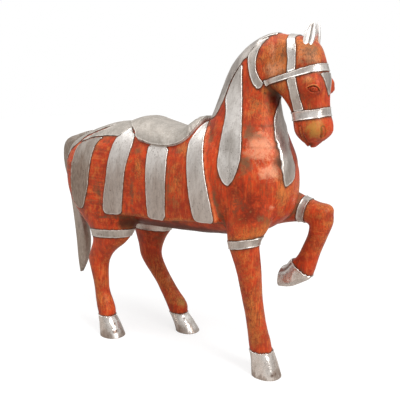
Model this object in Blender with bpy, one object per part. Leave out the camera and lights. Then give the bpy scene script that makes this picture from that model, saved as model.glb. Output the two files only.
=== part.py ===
"""A standing carved horse with a raised foreleg, overlaid with nailed white-metal sheets.

The horse faces +X, its left side is +Y and the floor is z = 0. Its free form is kept in parts of
1,100 to the height: a station (p, q, half, power, side) is a ring across a limb, where p and q are
the ring's rear and front points in side view, half is its half width across the horse, power is
the exponent of its superellipse and side is the y of its centre. Two more may follow: taper
narrows the ring towards q, and yaw turns it about its own centre, in degrees.
"""

import math

import bmesh
import bpy
import numpy as np
from mathutils import Matrix, Vector

for old in list(bpy.data.objects):
    bpy.data.objects.remove(old, do_unlink=True)

# Driving sizes in metres
HEIGHT = 1.10
SHEET = 0.0012
GAP = 0.0003
VOXEL = 0.0065
BODY_TRIANGLES = 1950

# One part in 1,100 of the height
PART = HEIGHT / 1100.0

# Settings of the lofts
RING_POINTS = 24
SMOOTHING_ROUNDS = 6
SMOOTHING = 0.5

# The least cosine between a corner's normal and its faces that a skin follows in full
SHARPEST = 0.35


def material(name, colour, roughness, metallic):
    made = bpy.data.materials.new(name)
    made.use_nodes = True
    shader = made.node_tree.nodes["Principled BSDF"]
    shader.inputs["Base Color"].default_value = (*colour, 1.0)
    shader.inputs["Roughness"].default_value = roughness
    shader.inputs["Metallic"].default_value = metallic
    return made


def painted(name):
    return material(name, (0.52, 0.09, 0.035), 0.62, 0.0)


def white_metal(name):
    return material(name, (0.62, 0.61, 0.58), 0.38, 1.0)


def new_object(name, mesh, finish=None):
    obj = bpy.data.objects.new(name, mesh)
    bpy.context.scene.collection.objects.link(obj)
    if finish is not None:
        mesh.materials.clear()
        mesh.materials.append(finish)
    return obj


def helper(obj):
    obj.hide_render = True
    obj.display_type = "WIRE"
    return obj


def ring(station, count=RING_POINTS):
    """Points of one ring: a superellipse between p and q, half wide across the horse."""
    p, q, half, power, side = station[:5]
    taper, yaw = (*station[5:], 0.0, 0.0)[:2]
    turn = np.arange(count) * 2 * math.pi / count
    along = np.sign(np.cos(turn)) * np.abs(np.cos(turn)) ** (2 / power)
    across = np.sign(np.sin(turn)) * np.abs(np.sin(turn)) ** (2 / power)
    forward = along * (q[0] - p[0]) / 2
    upward = along * (q[1] - p[1]) / 2
    sideways = across * half * (1 - taper * along)
    cosine = math.cos(math.radians(yaw))
    sine = math.sin(math.radians(yaw))
    x = (p[0] + q[0]) / 2 + forward * cosine - sideways * sine
    y = side + forward * sine + sideways * cosine
    z = (p[1] + q[1]) / 2 + upward
    return np.stack([x, y, z], axis=1) * PART


def loft_mesh(name, stations, count=RING_POINTS):
    """A closed skin over the rings of the stations, with a flat cap at each end."""
    bm = bmesh.new()
    rings = []
    for station in stations:
        rings.append([bm.verts.new(point) for point in ring(station, count)])
    for first, second in zip(rings, rings[1:]):
        for i in range(count):
            j = (i + 1) % count
            bm.faces.new((first[i], first[j], second[j], second[i]))
    bm.faces.new(rings[0])
    bm.faces.new(rings[-1])
    bmesh.ops.recalc_face_normals(bm, faces=bm.faces)
    mesh = bpy.data.meshes.new(name)
    bm.to_mesh(mesh)
    bm.free()
    return mesh


def baked(obj):
    """The object with its modifiers turned into plain geometry."""
    bpy.context.view_layer.update()
    graph = bpy.context.evaluated_depsgraph_get()
    mesh = bpy.data.meshes.new_from_object(obj.evaluated_get(graph))
    obj.modifiers.clear()
    obj.data = mesh
    return obj


def boolean(obj, operation, other):
    modifier = obj.modifiers.new(operation.title() + "_" + other.name, "BOOLEAN")
    modifier.operation = operation
    modifier.solver = "EXACT"
    modifier.object = other
    return modifier


def prism(name, outline, y0, y1):
    """A side-view outline carried straight across the horse from y0 to y1."""
    bm = bmesh.new()
    near = [bm.verts.new((x * PART, y0 * PART, z * PART)) for x, z in outline]
    far = [bm.verts.new((x * PART, y1 * PART, z * PART)) for x, z in outline]
    count = len(outline)
    for i in range(count):
        j = (i + 1) % count
        bm.faces.new((near[i], near[j], far[j], far[i]))
    bm.faces.new(near)
    bm.faces.new(far)
    bmesh.ops.recalc_face_normals(bm, faces=bm.faces)
    mesh = bpy.data.meshes.new(name)
    bm.to_mesh(mesh)
    bm.free()
    return helper(new_object(name, mesh))


def slab(name, centre, normal, tall, wide):
    """A flat box, tall along its normal and wide both other ways, round one limb."""
    bm = bmesh.new()
    bmesh.ops.create_cube(bm, size=1.0)
    axis = Vector(normal).normalized()
    turn = Vector((0, 0, 1)).rotation_difference(axis).to_matrix().to_4x4()
    size = Matrix.Diagonal((wide[0] * PART, wide[1] * PART, tall * PART, 1.0))
    place = Matrix.Translation(Vector(centre) * PART)
    bmesh.ops.transform(bm, matrix=place @ turn @ size, verts=bm.verts)
    mesh = bpy.data.meshes.new(name)
    bm.to_mesh(mesh)
    bm.free()
    return helper(new_object(name, mesh))


def egg(name, centre, radii, turn=(0.0, 0.0, 0.0)):
    """An ellipsoid for a carved swelling or hollow."""
    bm = bmesh.new()
    bmesh.ops.create_icosphere(bm, subdivisions=2, radius=1.0)
    x, y, z = (math.radians(a) for a in turn)
    spin = Matrix.Rotation(z, 4, "Z") @ Matrix.Rotation(y, 4, "Y") @ Matrix.Rotation(x, 4, "X")
    size = Matrix.Diagonal((radii[0] * PART, radii[1] * PART, radii[2] * PART, 1.0))
    place = Matrix.Translation(Vector(centre) * PART)
    bmesh.ops.transform(bm, matrix=place @ spin @ size, verts=bm.verts)
    mesh = bpy.data.meshes.new(name)
    bm.to_mesh(mesh)
    bm.free()
    return helper(new_object(name, mesh))


def skin(mesh, lift, name):
    """A copy of a closed mesh moved out so that each face clears its old plane by the lift."""
    made = mesh.copy()
    made.name = name
    points = np.empty(len(mesh.vertices) * 3, np.float32)
    normals = np.empty(len(mesh.vertices) * 3, np.float32)
    facing = np.empty(len(mesh.polygons) * 3, np.float32)
    sides = np.empty(len(mesh.polygons), np.int32)
    corners = np.empty(len(mesh.loops), np.int32)
    mesh.vertices.foreach_get("co", points)
    mesh.vertices.foreach_get("normal", normals)
    mesh.polygons.foreach_get("normal", facing)
    mesh.polygons.foreach_get("loop_total", sides)
    mesh.loops.foreach_get("vertex_index", corners)
    normals = normals.reshape(-1, 3)
    facing = np.repeat(facing.reshape(-1, 3), sides, axis=0)
    least = np.ones(len(mesh.vertices), np.float32)
    np.minimum.at(least, corners, (normals[corners] * facing).sum(axis=1))
    reach = lift / np.clip(least, SHARPEST, 1.0)
    made.vertices.foreach_set("co", points + (normals * reach[:, None]).ravel())
    made.update()
    return made


# Rings of the carved figure
def torso():
    rows = (
        (-252, 570, 652, 30), (-244, 515, 698, 60), (-218, 462, 722, 93), (-170, 434, 742, 117),
        (-100, 422, 768, 130), (0, 422, 792, 134), (100, 422, 788, 131), (200, 423, 781, 128),
        (290, 425, 772, 128), (345, 427, 782, 129), (400, 430, 803, 130), (500, 440, 795, 131),
        (580, 460, 762, 125), (636, 492, 730, 104), (668, 527, 702, 73), (680, 577, 668, 34),
    )
    return [((x, low), (x, high), half, 2.25, 0) for x, low, high, half in rows]


def neck():
    rows = (
        (387, 780, 682, 590, 120), (399, 822, 683, 680, 106), (414, 858, 664, 735, 92),
        (430, 900, 643, 785, 79), (448, 944, 628, 835, 69), (472, 988, 624, 880, 62),
        (511, 1028, 642, 915, 58), (560, 1058, 676, 950, 54), (604, 1071, 700, 985, 44),
        (640, 1068, 705, 1010, 30),
    )
    return [((x0, z0), (x1, z1), half, 2.2, 0) for x0, z0, x1, z1, half in rows]


def head():
    rows = (
        (1064, 612, 680, 28, 2.2, 0.0, 0), (1046, 598, 734, 46, 2.3, 0.0, 0),
        (1030, 596, 751, 52, 2.4, 0.0, 0), (1015, 594, 760, 56, 2.5, 0.0, 0),
        (980, 592, 772, 59, 2.8, 0.10, 0), (950, 594, 781, 61, 3.0, 0.18, 0),
        (920, 606, 785, 60, 3.0, 0.24, -2), (890, 645, 786, 55, 3.0, 0.26, -4),
        (860, 668, 787, 49, 3.0, 0.20, -7), (832, 682, 789, 48, 3.0, 0.10, -12),
        (806, 684, 796, 53, 2.6, 0.0, -18), (782, 688, 797, 53, 2.4, 0.0, -24),
        (762, 701, 781, 41, 2.3, 0.0, -28), (747, 712, 766, 26, 2.2, 0.0, -30),
        (735, 719, 755, 15, 2.2, 0.0, -30),
    )
    return [
        ((x0, z), (x1, z), half, power, 0, taper, yaw)
        for z, x0, x1, half, power, taper, yaw in rows
    ]


def upright_limb(rows):
    """Level rings given as height, middle, half depth, half width and side."""
    return [((x - a, z), (x + a, z), b, 2.1, y) for z, x, a, b, y in rows]


def fore_right():
    return upright_limb((
        (600, 560, 96, 60, -62), (540, 566, 86, 56, -74), (490, 572, 70, 52, -88),
        (455, 568, 55, 49, -97), (430, 567, 49, 46, -99), (400, 574, 45, 43, -98),
        (350, 582, 40, 38, -92), (300, 586, 36, 35, -85), (250, 590, 33, 32, -78),
        (200, 595, 32, 30, -70), (150, 600, 33, 31, -62), (112, 605, 36, 34, -56),
        (70, 610, 36, 34, -54),
    ))


def hind_right():
    return upright_limb((
        (640, -95, 140, 70, -58), (560, -80, 150, 72, -60), (500, -60, 148, 70, -64),
        (450, -28, 132, 62, -72), (425, -12, 114, 56, -80), (400, -1, 95, 50, -87),
        (360, -8, 70, 43, -93), (322, -38, 51, 37, -96), (287, -57, 45, 34, -97),
        (250, -56, 36, 31, -98), (200, -50, 29, 28, -98), (165, -46, 28, 27, -98),
        (125, -35, 33, 31, -98), (98, -27, 34, 33, -98), (66, -23, 31, 30, -98),
    ))


def hind_left():
    return upright_limb((
        (640, -95, 140, 70, 58), (560, -80, 150, 72, 60), (500, -50, 150, 70, 64),
        (450, 0, 132, 60, 74), (420, 30, 110, 54, 84), (394, 44, 92, 49, 92),
        (345, 34, 64, 43, 96), (300, 30, 49, 36, 97), (270, 32, 46, 34, 97),
        (231, 54, 42, 32, 97), (180, 94, 37, 29, 97), (140, 123, 39, 30, 97),
        (115, 143, 43, 32, 97), (90, 158, 43, 33, 97), (58, 165, 34, 30, 97),
    ))


def fore_left_upper():
    return [
        ((500, 446), (500, 602), 50, 2.1, 70), ((560, 458), (560, 608), 54, 2.1, 80),
        ((620, 476), (630, 588), 48, 2.1, 88), ((675, 486), (680, 570), 40, 2.1, 90),
        ((712, 480), (726, 556), 36, 2.1, 90), ((745, 482), (765, 550), 33, 2.1, 90),
        ((758, 498), (779, 532), 19, 2.1, 90),
    ]


def fore_left_lower():
    return [
        ((706, 512), (774, 536), 30, 2.1, 90), ((702, 488), (778, 494), 33, 2.1, 90),
        ((696, 448), (761, 446), 29, 2.1, 90), ((678, 404), (740, 391), 28, 2.1, 90),
        ((660, 368), (725, 341), 30, 2.1, 90), ((640, 352), (714, 306), 34, 2.1, 90),
    ]


def standing_hoof(x, y, crown_x, tall, crown, sole):
    """A hoof from the coronet down through the floor line: wider and further forward below."""
    rows = (
        (tall + 6, crown_x, crown - 4, crown - 5), (tall - 8, crown_x + 2, crown + 1, crown - 1),
        (tall / 2, (x + crown_x) / 2 + 2, (crown + sole) / 2, (crown + sole) / 2 - 3),
        (0, x, sole, sole - 4), (-30, x + 8, sole + 3, sole - 2),
    )
    return [((cx - a, z), (cx + a, z), b, 2.2, y) for z, cx, a, b in rows]


def raised_hoof():
    return [
        ((642, 358), (716, 314), 30, 2.2, 90), ((634, 348), (705, 298), 34, 2.2, 90),
        ((626, 336), (671, 277), 36, 2.2, 90), ((618, 330), (640, 262), 37, 2.2, 90),
        ((611, 327), (604, 257), 37, 2.2, 90),
    ]


def blanket():
    """The thick saddle cloth: a block proud of the flanks with an undercut lower edge."""
    rows = (
        (-30, 784, 133), (30, 792, 135), (100, 792, 137), (200, 786, 136), (290, 778, 136),
        (345, 788, 136), (400, 808, 137), (500, 802, 138),
    )
    stations = [((x, 330), (x, top), half, 2.6, 0) for x, top, half in rows]
    block = helper(new_object("blanket_block", loft_mesh("blanket_block", stations, 28)))
    outline = (
        (-14, 453), (60, 466), (135, 472), (200, 472), (276, 472), (338, 480), (420, 487),
        (486, 490), (469, 570), (450, 650), (431, 731), (421, 782), (414, 840), (-14, 840),
    )
    boolean(block, "INTERSECT", prism("blanket_outline", outline, -250, 250))
    return helper(baked(block))


def figure():
    """The figure and its saddle cloth as one smooth skin, the hooves run on below the floor."""
    limbs = (
        torso(), neck(), head(), fore_right(), hind_right(), hind_left(), fore_left_upper(),
        fore_left_lower(), raised_hoof(),
        standing_hoof(631, -53, 610, 86, 36, 47), standing_hoof(1, -98, -26, 81, 32, 46),
        standing_hoof(207, 97, 162, 72, 32, 44),
    )
    bm = bmesh.new()
    for number, stations in enumerate(limbs):
        bm.from_mesh(loft_mesh("limb_%d" % number, stations))
    bm.from_mesh(blanket().data)
    mesh = bpy.data.meshes.new("figure")
    bm.to_mesh(mesh)
    bm.free()
    obj = helper(new_object("figure", mesh))
    remesh = obj.modifiers.new("Voxels", "REMESH")
    remesh.mode = "VOXEL"
    remesh.voxel_size = VOXEL
    smooth = obj.modifiers.new("Smooth", "SMOOTH")
    smooth.factor = SMOOTHING
    smooth.iterations = SMOOTHING_ROUNDS
    baked(obj)
    decimate = obj.modifiers.new("Decimate", "DECIMATE")
    decimate.ratio = BODY_TRIANGLES / (2.0 * len(obj.data.polygons))
    obj.modifiers.new("Triangles", "TRIANGULATE")
    baked(obj)
    return obj


def plate(name, cover, *cutters, remove=()):
    """One sheet: the outer skin inside every cutter and outside those to remove, less the body."""
    outer, clear = cover
    obj = new_object(name, outer.copy(), white_metal(name + "_metal"))
    for cutter in cutters:
        boolean(obj, "INTERSECT", cutter).use_self = True
    for cutter in (*remove, clear):
        boolean(obj, "DIFFERENCE", cutter).use_self = True
    baked(obj)
    obj.data.name = name
    return obj


def plan_prism(name, outline, low, high):
    """An outline of (x, y) points seen from above, carried from low to high."""
    bm = bmesh.new()
    under = [bm.verts.new((x * PART, y * PART, low * PART)) for x, y in outline]
    over = [bm.verts.new((x * PART, y * PART, high * PART)) for x, y in outline]
    count = len(outline)
    for i in range(count):
        j = (i + 1) % count
        bm.faces.new((under[i], under[j], over[j], over[i]))
    bm.faces.new(under)
    bm.faces.new(over)
    bmesh.ops.recalc_face_normals(bm, faces=bm.faces)
    mesh = bpy.data.meshes.new(name)
    bm.to_mesh(mesh)
    bm.free()
    return helper(new_object(name, mesh))


def behind_saddle(back):
    """The saddle's plan: its curved rear edge moved back by this much, and all that lies before it."""
    rear = [(x - back, y) for x, y in SADDLE_REAR]
    rear += [(420, 150), (420, -150)]
    rear += [(x - back, -y) for x, y in reversed(SADDLE_REAR[1:])]
    return rear


def turned_prism(name, outline, angle, near, far):
    """An outline of (across, z) points facing the angle, in degrees, carried from near to far."""
    obj = prism(name, outline, near, far)
    obj.data.transform(Matrix.Rotation(math.radians(angle), 4, "Z"))
    return obj


SIDES = (("right", -230, -2), ("left", 2, 230))

# Side-view outlines of the sheets, in parts of 1,100 to the height
CREST_EDGE = (
    (609, 1063), (576, 1053), (554, 1025), (541, 1010), (524, 989), (490, 936), (470, 880),
    (452, 843), (440, 822),
)
CREST = CREST_EDGE + ((422, 815), (340, 815), (340, 1000), (450, 1110), (609, 1110))
CRESCENT = (
    (609, 1059), (590, 1040), (580, 1018), (574, 990), (577, 962), (588, 938), (600, 923),
    (592, 910), (582, 905), (568, 920), (558, 942), (550, 972), (544, 1007), (556, 1022),
    (578, 1050),
)
LAPPET = (
    (526, 985), (531, 940), (535, 900), (546, 814), (558, 740), (559, 700), (555, 668),
    (545, 638), (527, 614), (511, 624), (496, 645), (485, 672), (483, 722), (487, 790),
    (487, 840), (475, 878), (493, 932),
)
LAPPET_FORE = (
    (335, 986), (345, 930), (364, 896), (407, 886), (450, 880), (466, 862), (479, 800),
    (488, 765), (496, 727), (503, 680), (507, 640), (504, 614), (492, 622), (474, 640),
    (473, 665), (475, 705), (466, 740), (440, 775), (398, 812), (348, 850), (312, 900),
    (308, 936),
)
HEAD_CLEAR = ((670, 728), (668, 800), (650, 850), (637, 905), (900, 905), (900, 728))
CROWN = (
    (668, 1110), (669, 1055), (676, 1017), (681, 988), (680, 960), (706, 968), (704, 1002),
    (703, 1025), (690, 1056), (688, 1110),
)
BROW_TOP = ((598, 930), (642, 941), (680, 952), (704, 960), (732, 968), (758, 976), (820, 990))
BROW_LOW = ((820, 966), (772, 956), (719, 944), (690, 937), (659, 928), (611, 917), (606, 912))
NOSE_TOP = ((662, 838), (689, 840), (718, 844), (748, 847), (774, 851), (820, 864))
NOSE_LOW = ((820, 838), (775, 824), (735, 818), (690, 813), (662, 811))
CHEEK = ((681, 932), (689, 898), (698, 843), (730, 847), (718, 890), (707, 939))
PENDANT = ((-36, 953), (-18, 918), (-3, 888), (3, 888), (18, 918), (36, 953))
SADDLE_EDGE = (
    (30, 757), (141, 757), (150, 747), (160, 741), (185, 735), (211, 728),
    (246, 725), (281, 726), (312, 732), (334, 742), (352, 756), (366, 776), (376, 800),
)
SADDLE_REAR = ((44, 0), (56, 22), (80, 50), (104, 78), (119, 95), (132, 106), (141, 114), (150, 150))
CROUP = (
    (-240, 640), (-218, 650), (-211, 661), (-197, 685), (-158, 711), (-145, 724), (-122, 740),
    (-89, 751), (-61, 762), (-31, 771), (2, 781), (-27, 766), (-52, 758), (-82, 746), (-100, 739),
    (-124, 728), (-147, 714), (-128, 719), (-74, 736), (0, 744), (54, 745), (128, 746), (142, 752),
    (142, 860), (-240, 860),
)
TAIL_CLEAR = ((-154, 600), (-154, 800), (-300, 800), (-300, 600))
STRIP_1 = (
    (-147, 703), (-156, 682), (-161, 640), (-169, 558), (-163, 500), (-146, 480), (-131, 474),
    (-108, 476), (-96, 484), (-84, 515), (-72, 555), (-60, 621), (-52, 672), (-44, 710),
    (-30, 729), (-16, 738), (-30, 737), (-74, 731), (-98, 724), (-128, 714),
)
STRIP_2 = (
    (52, 744), (43, 715), (34, 673), (23, 592), (8, 530), (2, 485), (10, 472), (26, 469),
    (84, 476), (94, 488), (105, 573), (113, 638), (123, 682), (130, 712), (131, 744),
)
STRIP_3 = (
    (202, 727), (203, 661), (208, 530), (213, 478), (285, 478), (287, 560), (288, 651),
    (283, 723),
)
STRIP_4 = (
    (376, 772), (366, 735), (369, 691), (382, 585), (398, 510), (408, 494), (425, 491),
    (478, 494), (472, 530), (461, 574), (442, 650), (426, 722), (414, 782), (404, 796),
    (388, 790),
)
RAISED_CAP = ((643, 357), (716, 308), (726, 280), (650, 230), (570, 230), (570, 350), (620, 362))


def side_plates(cover):
    """The sheets that come in pairs, one on each flank."""
    outlines = {
        "mane_crescent": CRESCENT, "cheek_strap": CHEEK, "flank_strip_1": STRIP_1,
        "flank_strip_2": STRIP_2, "flank_strip_3": STRIP_3, "flank_strip_4": STRIP_4,
    }
    for side, y0, y1 in SIDES:
        for name, outline in outlines.items():
            cutter = prism("cut_%s_%s" % (name, side), outline, y0, y1)
            plate("%s_%s" % (name, side), cover, cutter)


def mane_plates(cover):
    plate("mane_crest", cover, prism("cut_crest", CREST, -230, 230))
    plate("mane_lappet_right", cover, prism("cut_lappet_right", LAPPET, -230, -2))
    clear = prism("cut_head_clear", HEAD_CLEAR, -230, 230)
    cutter = turned_prism("cut_lappet_left", LAPPET_FORE, -45, 365, 700)
    low = prism("cut_near_low", ((400, 560), (400, 825), (800, 825), (800, 560)), -230, -47)
    high = prism("cut_near_high", ((400, 820), (400, 1000), (800, 1000), (800, 820)), -230, -34)
    plate("mane_lappet_left", cover, cutter, remove=(clear, low, high))


def bridle_plates(cover):
    plate("crown_piece", cover, prism("cut_crown", CROWN, -230, 230),
          remove=(prism("cut_brow_clear", BROW_TOP + ((820, 800), (598, 800)), -230, 230),))
    plate("browband", cover, prism("cut_browband", BROW_TOP + BROW_LOW, -230, 230))
    plate("noseband", cover, prism("cut_noseband", NOSE_TOP + NOSE_LOW, -230, 230))
    plate("face_pendant", cover, turned_prism("cut_pendant", PENDANT, 90, -900, -700))


def croup_plate(cover):
    """The sheet over the croup: a slit on each side frees its middle, which runs back to the tail."""
    tail_clear = prism("cut_tail_clear", TAIL_CLEAR, -34, 34)
    saddle_clear = plan_prism("cut_saddle_clear", behind_saddle(2), 700, 870)
    cutter = prism("cut_croup", CROUP, -230, 230)
    plate("croup_sheet", cover, cutter, remove=(tail_clear, saddle_clear))


def leg_plates(cover):
    bands = (
        ("fore_right", (572, -99, 441), (-0.19, 0, 0.98), 26, (150, 116)),
        ("hind_right", (2, -88, 396), (-0.08, 0, 1), 28, (240, 124)),
        ("hind_left", (44, 94, 394), (0, 0, 1), 26, (240, 124)),
        ("fore_left", (683, 92, 525), (1, 0, -0.22), 24, (112, 96)),
    )
    for name, centre, normal, tall, wide in bands:
        plate("leg_band_" + name, cover, slab("cut_band_" + name, centre, normal, tall, wide))
    caps = (
        ("fore_right", 624, -54, 82), ("hind_right", -6, -98, 77), ("hind_left", 196, 97, 67),
    )
    for name, x, y, tall in caps:
        cutter = slab("cut_cap_" + name, (x, y, tall / 2), (0, 0, 1), tall, (170, 130))
        plate("hoof_cap_" + name, cover, cutter)
    plate("hoof_cap_fore_left", cover, prism("cut_cap_fore_left", RAISED_CAP, 30, 150))


def saddle(body):
    rows = (
        (38, 790, 96), (56, 797, 108), (95, 809, 116), (130, 816, 118), (165, 809, 119),
        (201, 799, 119), (250, 787, 119), (290, 783, 117), (320, 795, 113), (345, 813, 108),
        (360, 820, 104), (376, 819, 98),
    )
    stations = [((x, 610), (x, top), half, 2.5, 0) for x, top, half in rows]
    obj = new_object("saddle", loft_mesh("saddle", stations, 20), white_metal("saddle_metal"))
    boolean(obj, "INTERSECT", prism("cut_saddle", SADDLE_EDGE + ((376, 870), (30, 870)), -230, 230))
    boolean(obj, "INTERSECT", plan_prism("cut_saddle_plan", behind_saddle(0), 680, 880))
    boolean(obj, "DIFFERENCE", body)
    return baked(obj)


def tail(body):
    rows = (
        (-158, 741, -158, 752, 14), (-174, 729, -174, 752, 21), (-205, 712, -200, 746, 25),
        (-242, 686, -246, 733, 27), (-264, 666, -294, 716, 28), (-272, 638, -316, 678, 28),
        (-271, 600, -314, 615, 27), (-260, 545, -297, 550, 25), (-236, 440, -280, 436, 24),
        (-214, 360, -271, 355, 25), (-208, 300, -267, 297, 24), (-220, 235, -265, 233, 18),
        (-249, 178, -261, 176, 7),
    )
    stations = [((x0, z0), (x1, z1), half, 2.2, 0) for x0, z0, x1, z1, half in rows]
    obj = new_object("tail", loft_mesh("tail", stations, 10), white_metal("tail_metal"))
    boolean(obj, "DIFFERENCE", body)
    return baked(obj)


def ears(body):
    rows = (
        (1004, 726, 9, 8, 37), (1022, 728, 12, 9, 34), (1040, 729, 16, 9, 28), (1058, 731, 17, 9, 24),
        (1075, 733, 14, 7, 21), (1090, 737, 8, 5, 20), (1100, 739, 1.5, 1.5, 20),
    )
    for name, side, yaw in (("ear_right", -1, 35), ("ear_left", 1, -35)):
        stations = [
            ((x - a, z), (x + a, z), b, 2.1, side * y, 0.0, yaw) for z, x, a, b, y in rows
        ]
        obj = new_object(name, loft_mesh(name, stations, 10), white_metal(name + "_metal"))
        boolean(obj, "DIFFERENCE", body)
        baked(obj)


def carve(body_mesh):
    """The wooden figure: cut flat at the floor, with brows and eyes, nostrils and a lip notch."""
    obj = new_object("horse", body_mesh.copy(), painted("red_painted_wood"))
    for side in (-1, 1):
        boolean(obj, "UNION", egg("brow", (752, 47 * side, 917), (31, 25, 26)))
        boolean(obj, "UNION", egg("eye", (753, 58 * side, 906), (12, 9, 8)))
    boolean(obj, "DIFFERENCE", egg("nostril_right", (727, -50, 779), (6, 5, 18), (0, 12, 0)))
    boolean(obj, "DIFFERENCE", egg("nostril_left", (786, -29, 783), (5, 6, 16), (0, 12, 0)))
    notch = ((724, 722), (733, 748), (740, 722))
    boolean(obj, "DIFFERENCE", prism("lip_notch", notch, -60, 60))
    boolean(obj, "DIFFERENCE", slab("floor", (200, 0, -50), (0, 0, 1), 100, (1400, 600)))
    return baked(obj)


def centred(objects):
    """Moves everything so that the middle of the plan box stands over the origin."""
    corners = np.array([v.co[:] for obj in objects for v in obj.data.vertices])
    middle = (corners.min(axis=0) + corners.max(axis=0)) / 2
    shift = Matrix.Translation((-middle[0], -middle[1], 0.0))
    for obj in objects:
        obj.data.transform(shift)
    return middle


BODY = figure()
CLEAR = helper(new_object("clear", skin(BODY.data, GAP, "clear")))
COVER = (skin(BODY.data, GAP + SHEET, "cover"), CLEAR)

carve(BODY.data)
saddle(CLEAR)
tail(CLEAR)
ears(CLEAR)
side_plates(COVER)
mane_plates(COVER)
bridle_plates(COVER)
croup_plate(COVER)
leg_plates(COVER)

for obj in list(bpy.data.objects):
    if obj.hide_render:
        bpy.data.objects.remove(obj, do_unlink=True)
MIDDLE = centred(list(bpy.data.objects))
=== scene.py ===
"""The looks of a standing carved horse, painted red and overlaid with nailed white-metal sheets.

Forms are kept in parts of 1,100 to the height, in the frame of the carving: it faces +X, its left
side is +Y and the floor is z = 0. MIDDLE is the plan point of that frame that stands over the
origin. A station (p, q, half, power, side, taper, yaw) is a ring across a limb: p and q are its
rear and front points in side view, half its half width, power the exponent of its superellipse,
side the y of its centre, taper how it narrows towards q and yaw its turn in degrees.
The photograph is taken from the front right, 35 degrees round from the right side.
"""

import math

import bmesh
import bpy
import numpy as np
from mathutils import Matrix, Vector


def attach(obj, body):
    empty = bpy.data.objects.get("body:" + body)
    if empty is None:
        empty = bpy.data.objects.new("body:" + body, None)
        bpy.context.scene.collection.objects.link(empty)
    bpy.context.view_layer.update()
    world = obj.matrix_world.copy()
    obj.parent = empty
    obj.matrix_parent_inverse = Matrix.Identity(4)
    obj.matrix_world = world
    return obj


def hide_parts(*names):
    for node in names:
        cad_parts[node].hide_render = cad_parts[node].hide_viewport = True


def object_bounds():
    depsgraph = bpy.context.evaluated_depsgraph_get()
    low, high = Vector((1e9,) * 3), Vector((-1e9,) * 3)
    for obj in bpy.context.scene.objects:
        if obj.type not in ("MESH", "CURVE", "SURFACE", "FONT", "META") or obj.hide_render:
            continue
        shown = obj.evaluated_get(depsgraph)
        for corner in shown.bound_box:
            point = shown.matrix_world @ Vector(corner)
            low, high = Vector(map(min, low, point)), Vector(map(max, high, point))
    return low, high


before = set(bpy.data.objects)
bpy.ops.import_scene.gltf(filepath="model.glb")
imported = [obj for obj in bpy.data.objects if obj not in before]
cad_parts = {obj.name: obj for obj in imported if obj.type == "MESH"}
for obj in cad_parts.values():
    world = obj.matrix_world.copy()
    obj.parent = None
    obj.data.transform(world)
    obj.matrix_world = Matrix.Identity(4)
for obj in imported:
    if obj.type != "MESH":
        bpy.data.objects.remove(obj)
CAD_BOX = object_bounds()

# Sizes of the frame of the carving
PART = (CAD_BOX[1].z - CAD_BOX[0].z) / 1100.0
MIDDLE = np.array([240.06, -1.79, 0.0])

# The carved wood, in parts
VOXEL = 6.1
SMOOTHING_ROUNDS = 7
SMOOTHING = 0.5
LOFT_POINTS = 72
LOFT_STEPS = 4

# The metal sheets, in parts; RIM_ROWS are the distances in from an edge that get a row of corners
SHEET = 1.4
RIM = 1.5
RIM_ROWS = (0.0, 0.9, 1.7, 2.7, 4.2)
SUNK = 1.2
HAND_CUT = 0.8
NAIL_RADIUS = 2.0
NAIL_HEIGHT = 1.2

# The edge distance of metal that has no rolled rim near it
NO_RIM = 9.0

# Distances from an outline or a path are worked out only this near to it, in parts
FAR = 30.0

# Shares of x and y in the distance across the photograph, for a view 35 degrees round
ACROSS_X = 0.819
ACROSS_Y = 0.574


# Surfaces from stations
def table(stations):
    """One row for each station: x and z of both points, half, power, side, taper and yaw."""
    rows = [(*p, *q, *(*rest, 0.0, 0.0)[:5]) for p, q, *rest in stations]
    return np.array(rows, float)


def between(rows, steps):
    """Rows on a Catmull-Rom curve through the given rows, with this many steps to each gap."""
    padded = np.concatenate([rows[:1], rows, rows[-1:]])
    place = np.linspace(0, len(rows) - 1, (len(rows) - 1) * steps + 1)
    first = np.minimum(place.astype(int), len(rows) - 2)
    t = (place - first)[:, None]
    a, b, c, d = (padded[first + k] for k in range(4))
    return 0.5 * (2 * b + (c - a) * t + (2 * a - 5 * b + 4 * c - d) * t**2 + (3 * b - a - 3 * c + d) * t**3)


def full_turn(count):
    """This many angles all the way round, as a row."""
    return np.linspace(0, 2 * np.pi, count, endpoint=False)[None, :]


def loft(stations, around=LOFT_POINTS, steps=LOFT_STEPS):
    """A grid of points: superellipses (cos t)^(2/power), (sin t)^(2/power) carried along the stations."""
    rows = between(table(stations), steps)[:, None, :]
    x0, z0, x1, z1, half, power, side, taper, yaw = np.moveaxis(rows, 2, 0)
    turn = full_turn(around)
    along = np.sign(np.cos(turn)) * np.abs(np.cos(turn)) ** (2 / power)
    across = np.sign(np.sin(turn)) * np.abs(np.sin(turn)) ** (2 / power)
    forward = along * (x1 - x0) / 2
    sideways = across * half * (1 - taper * along)
    cosine = np.cos(np.radians(yaw))
    sine = np.sin(np.radians(yaw))
    x = (x0 + x1) / 2 + forward * cosine - sideways * sine
    y = side + forward * sine + sideways * cosine
    z = (z0 + z1) / 2 + along * (z1 - z0) / 2
    return np.stack([x, y, z], axis=2)


def quads(a, b, c, d):
    """Two triangles for each four-sided face of a grid, from the numbers of its corners."""
    return np.concatenate([np.stack(three, 2).reshape(-1, 3) for three in ((a, b, c), (a, c, d))])


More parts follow.
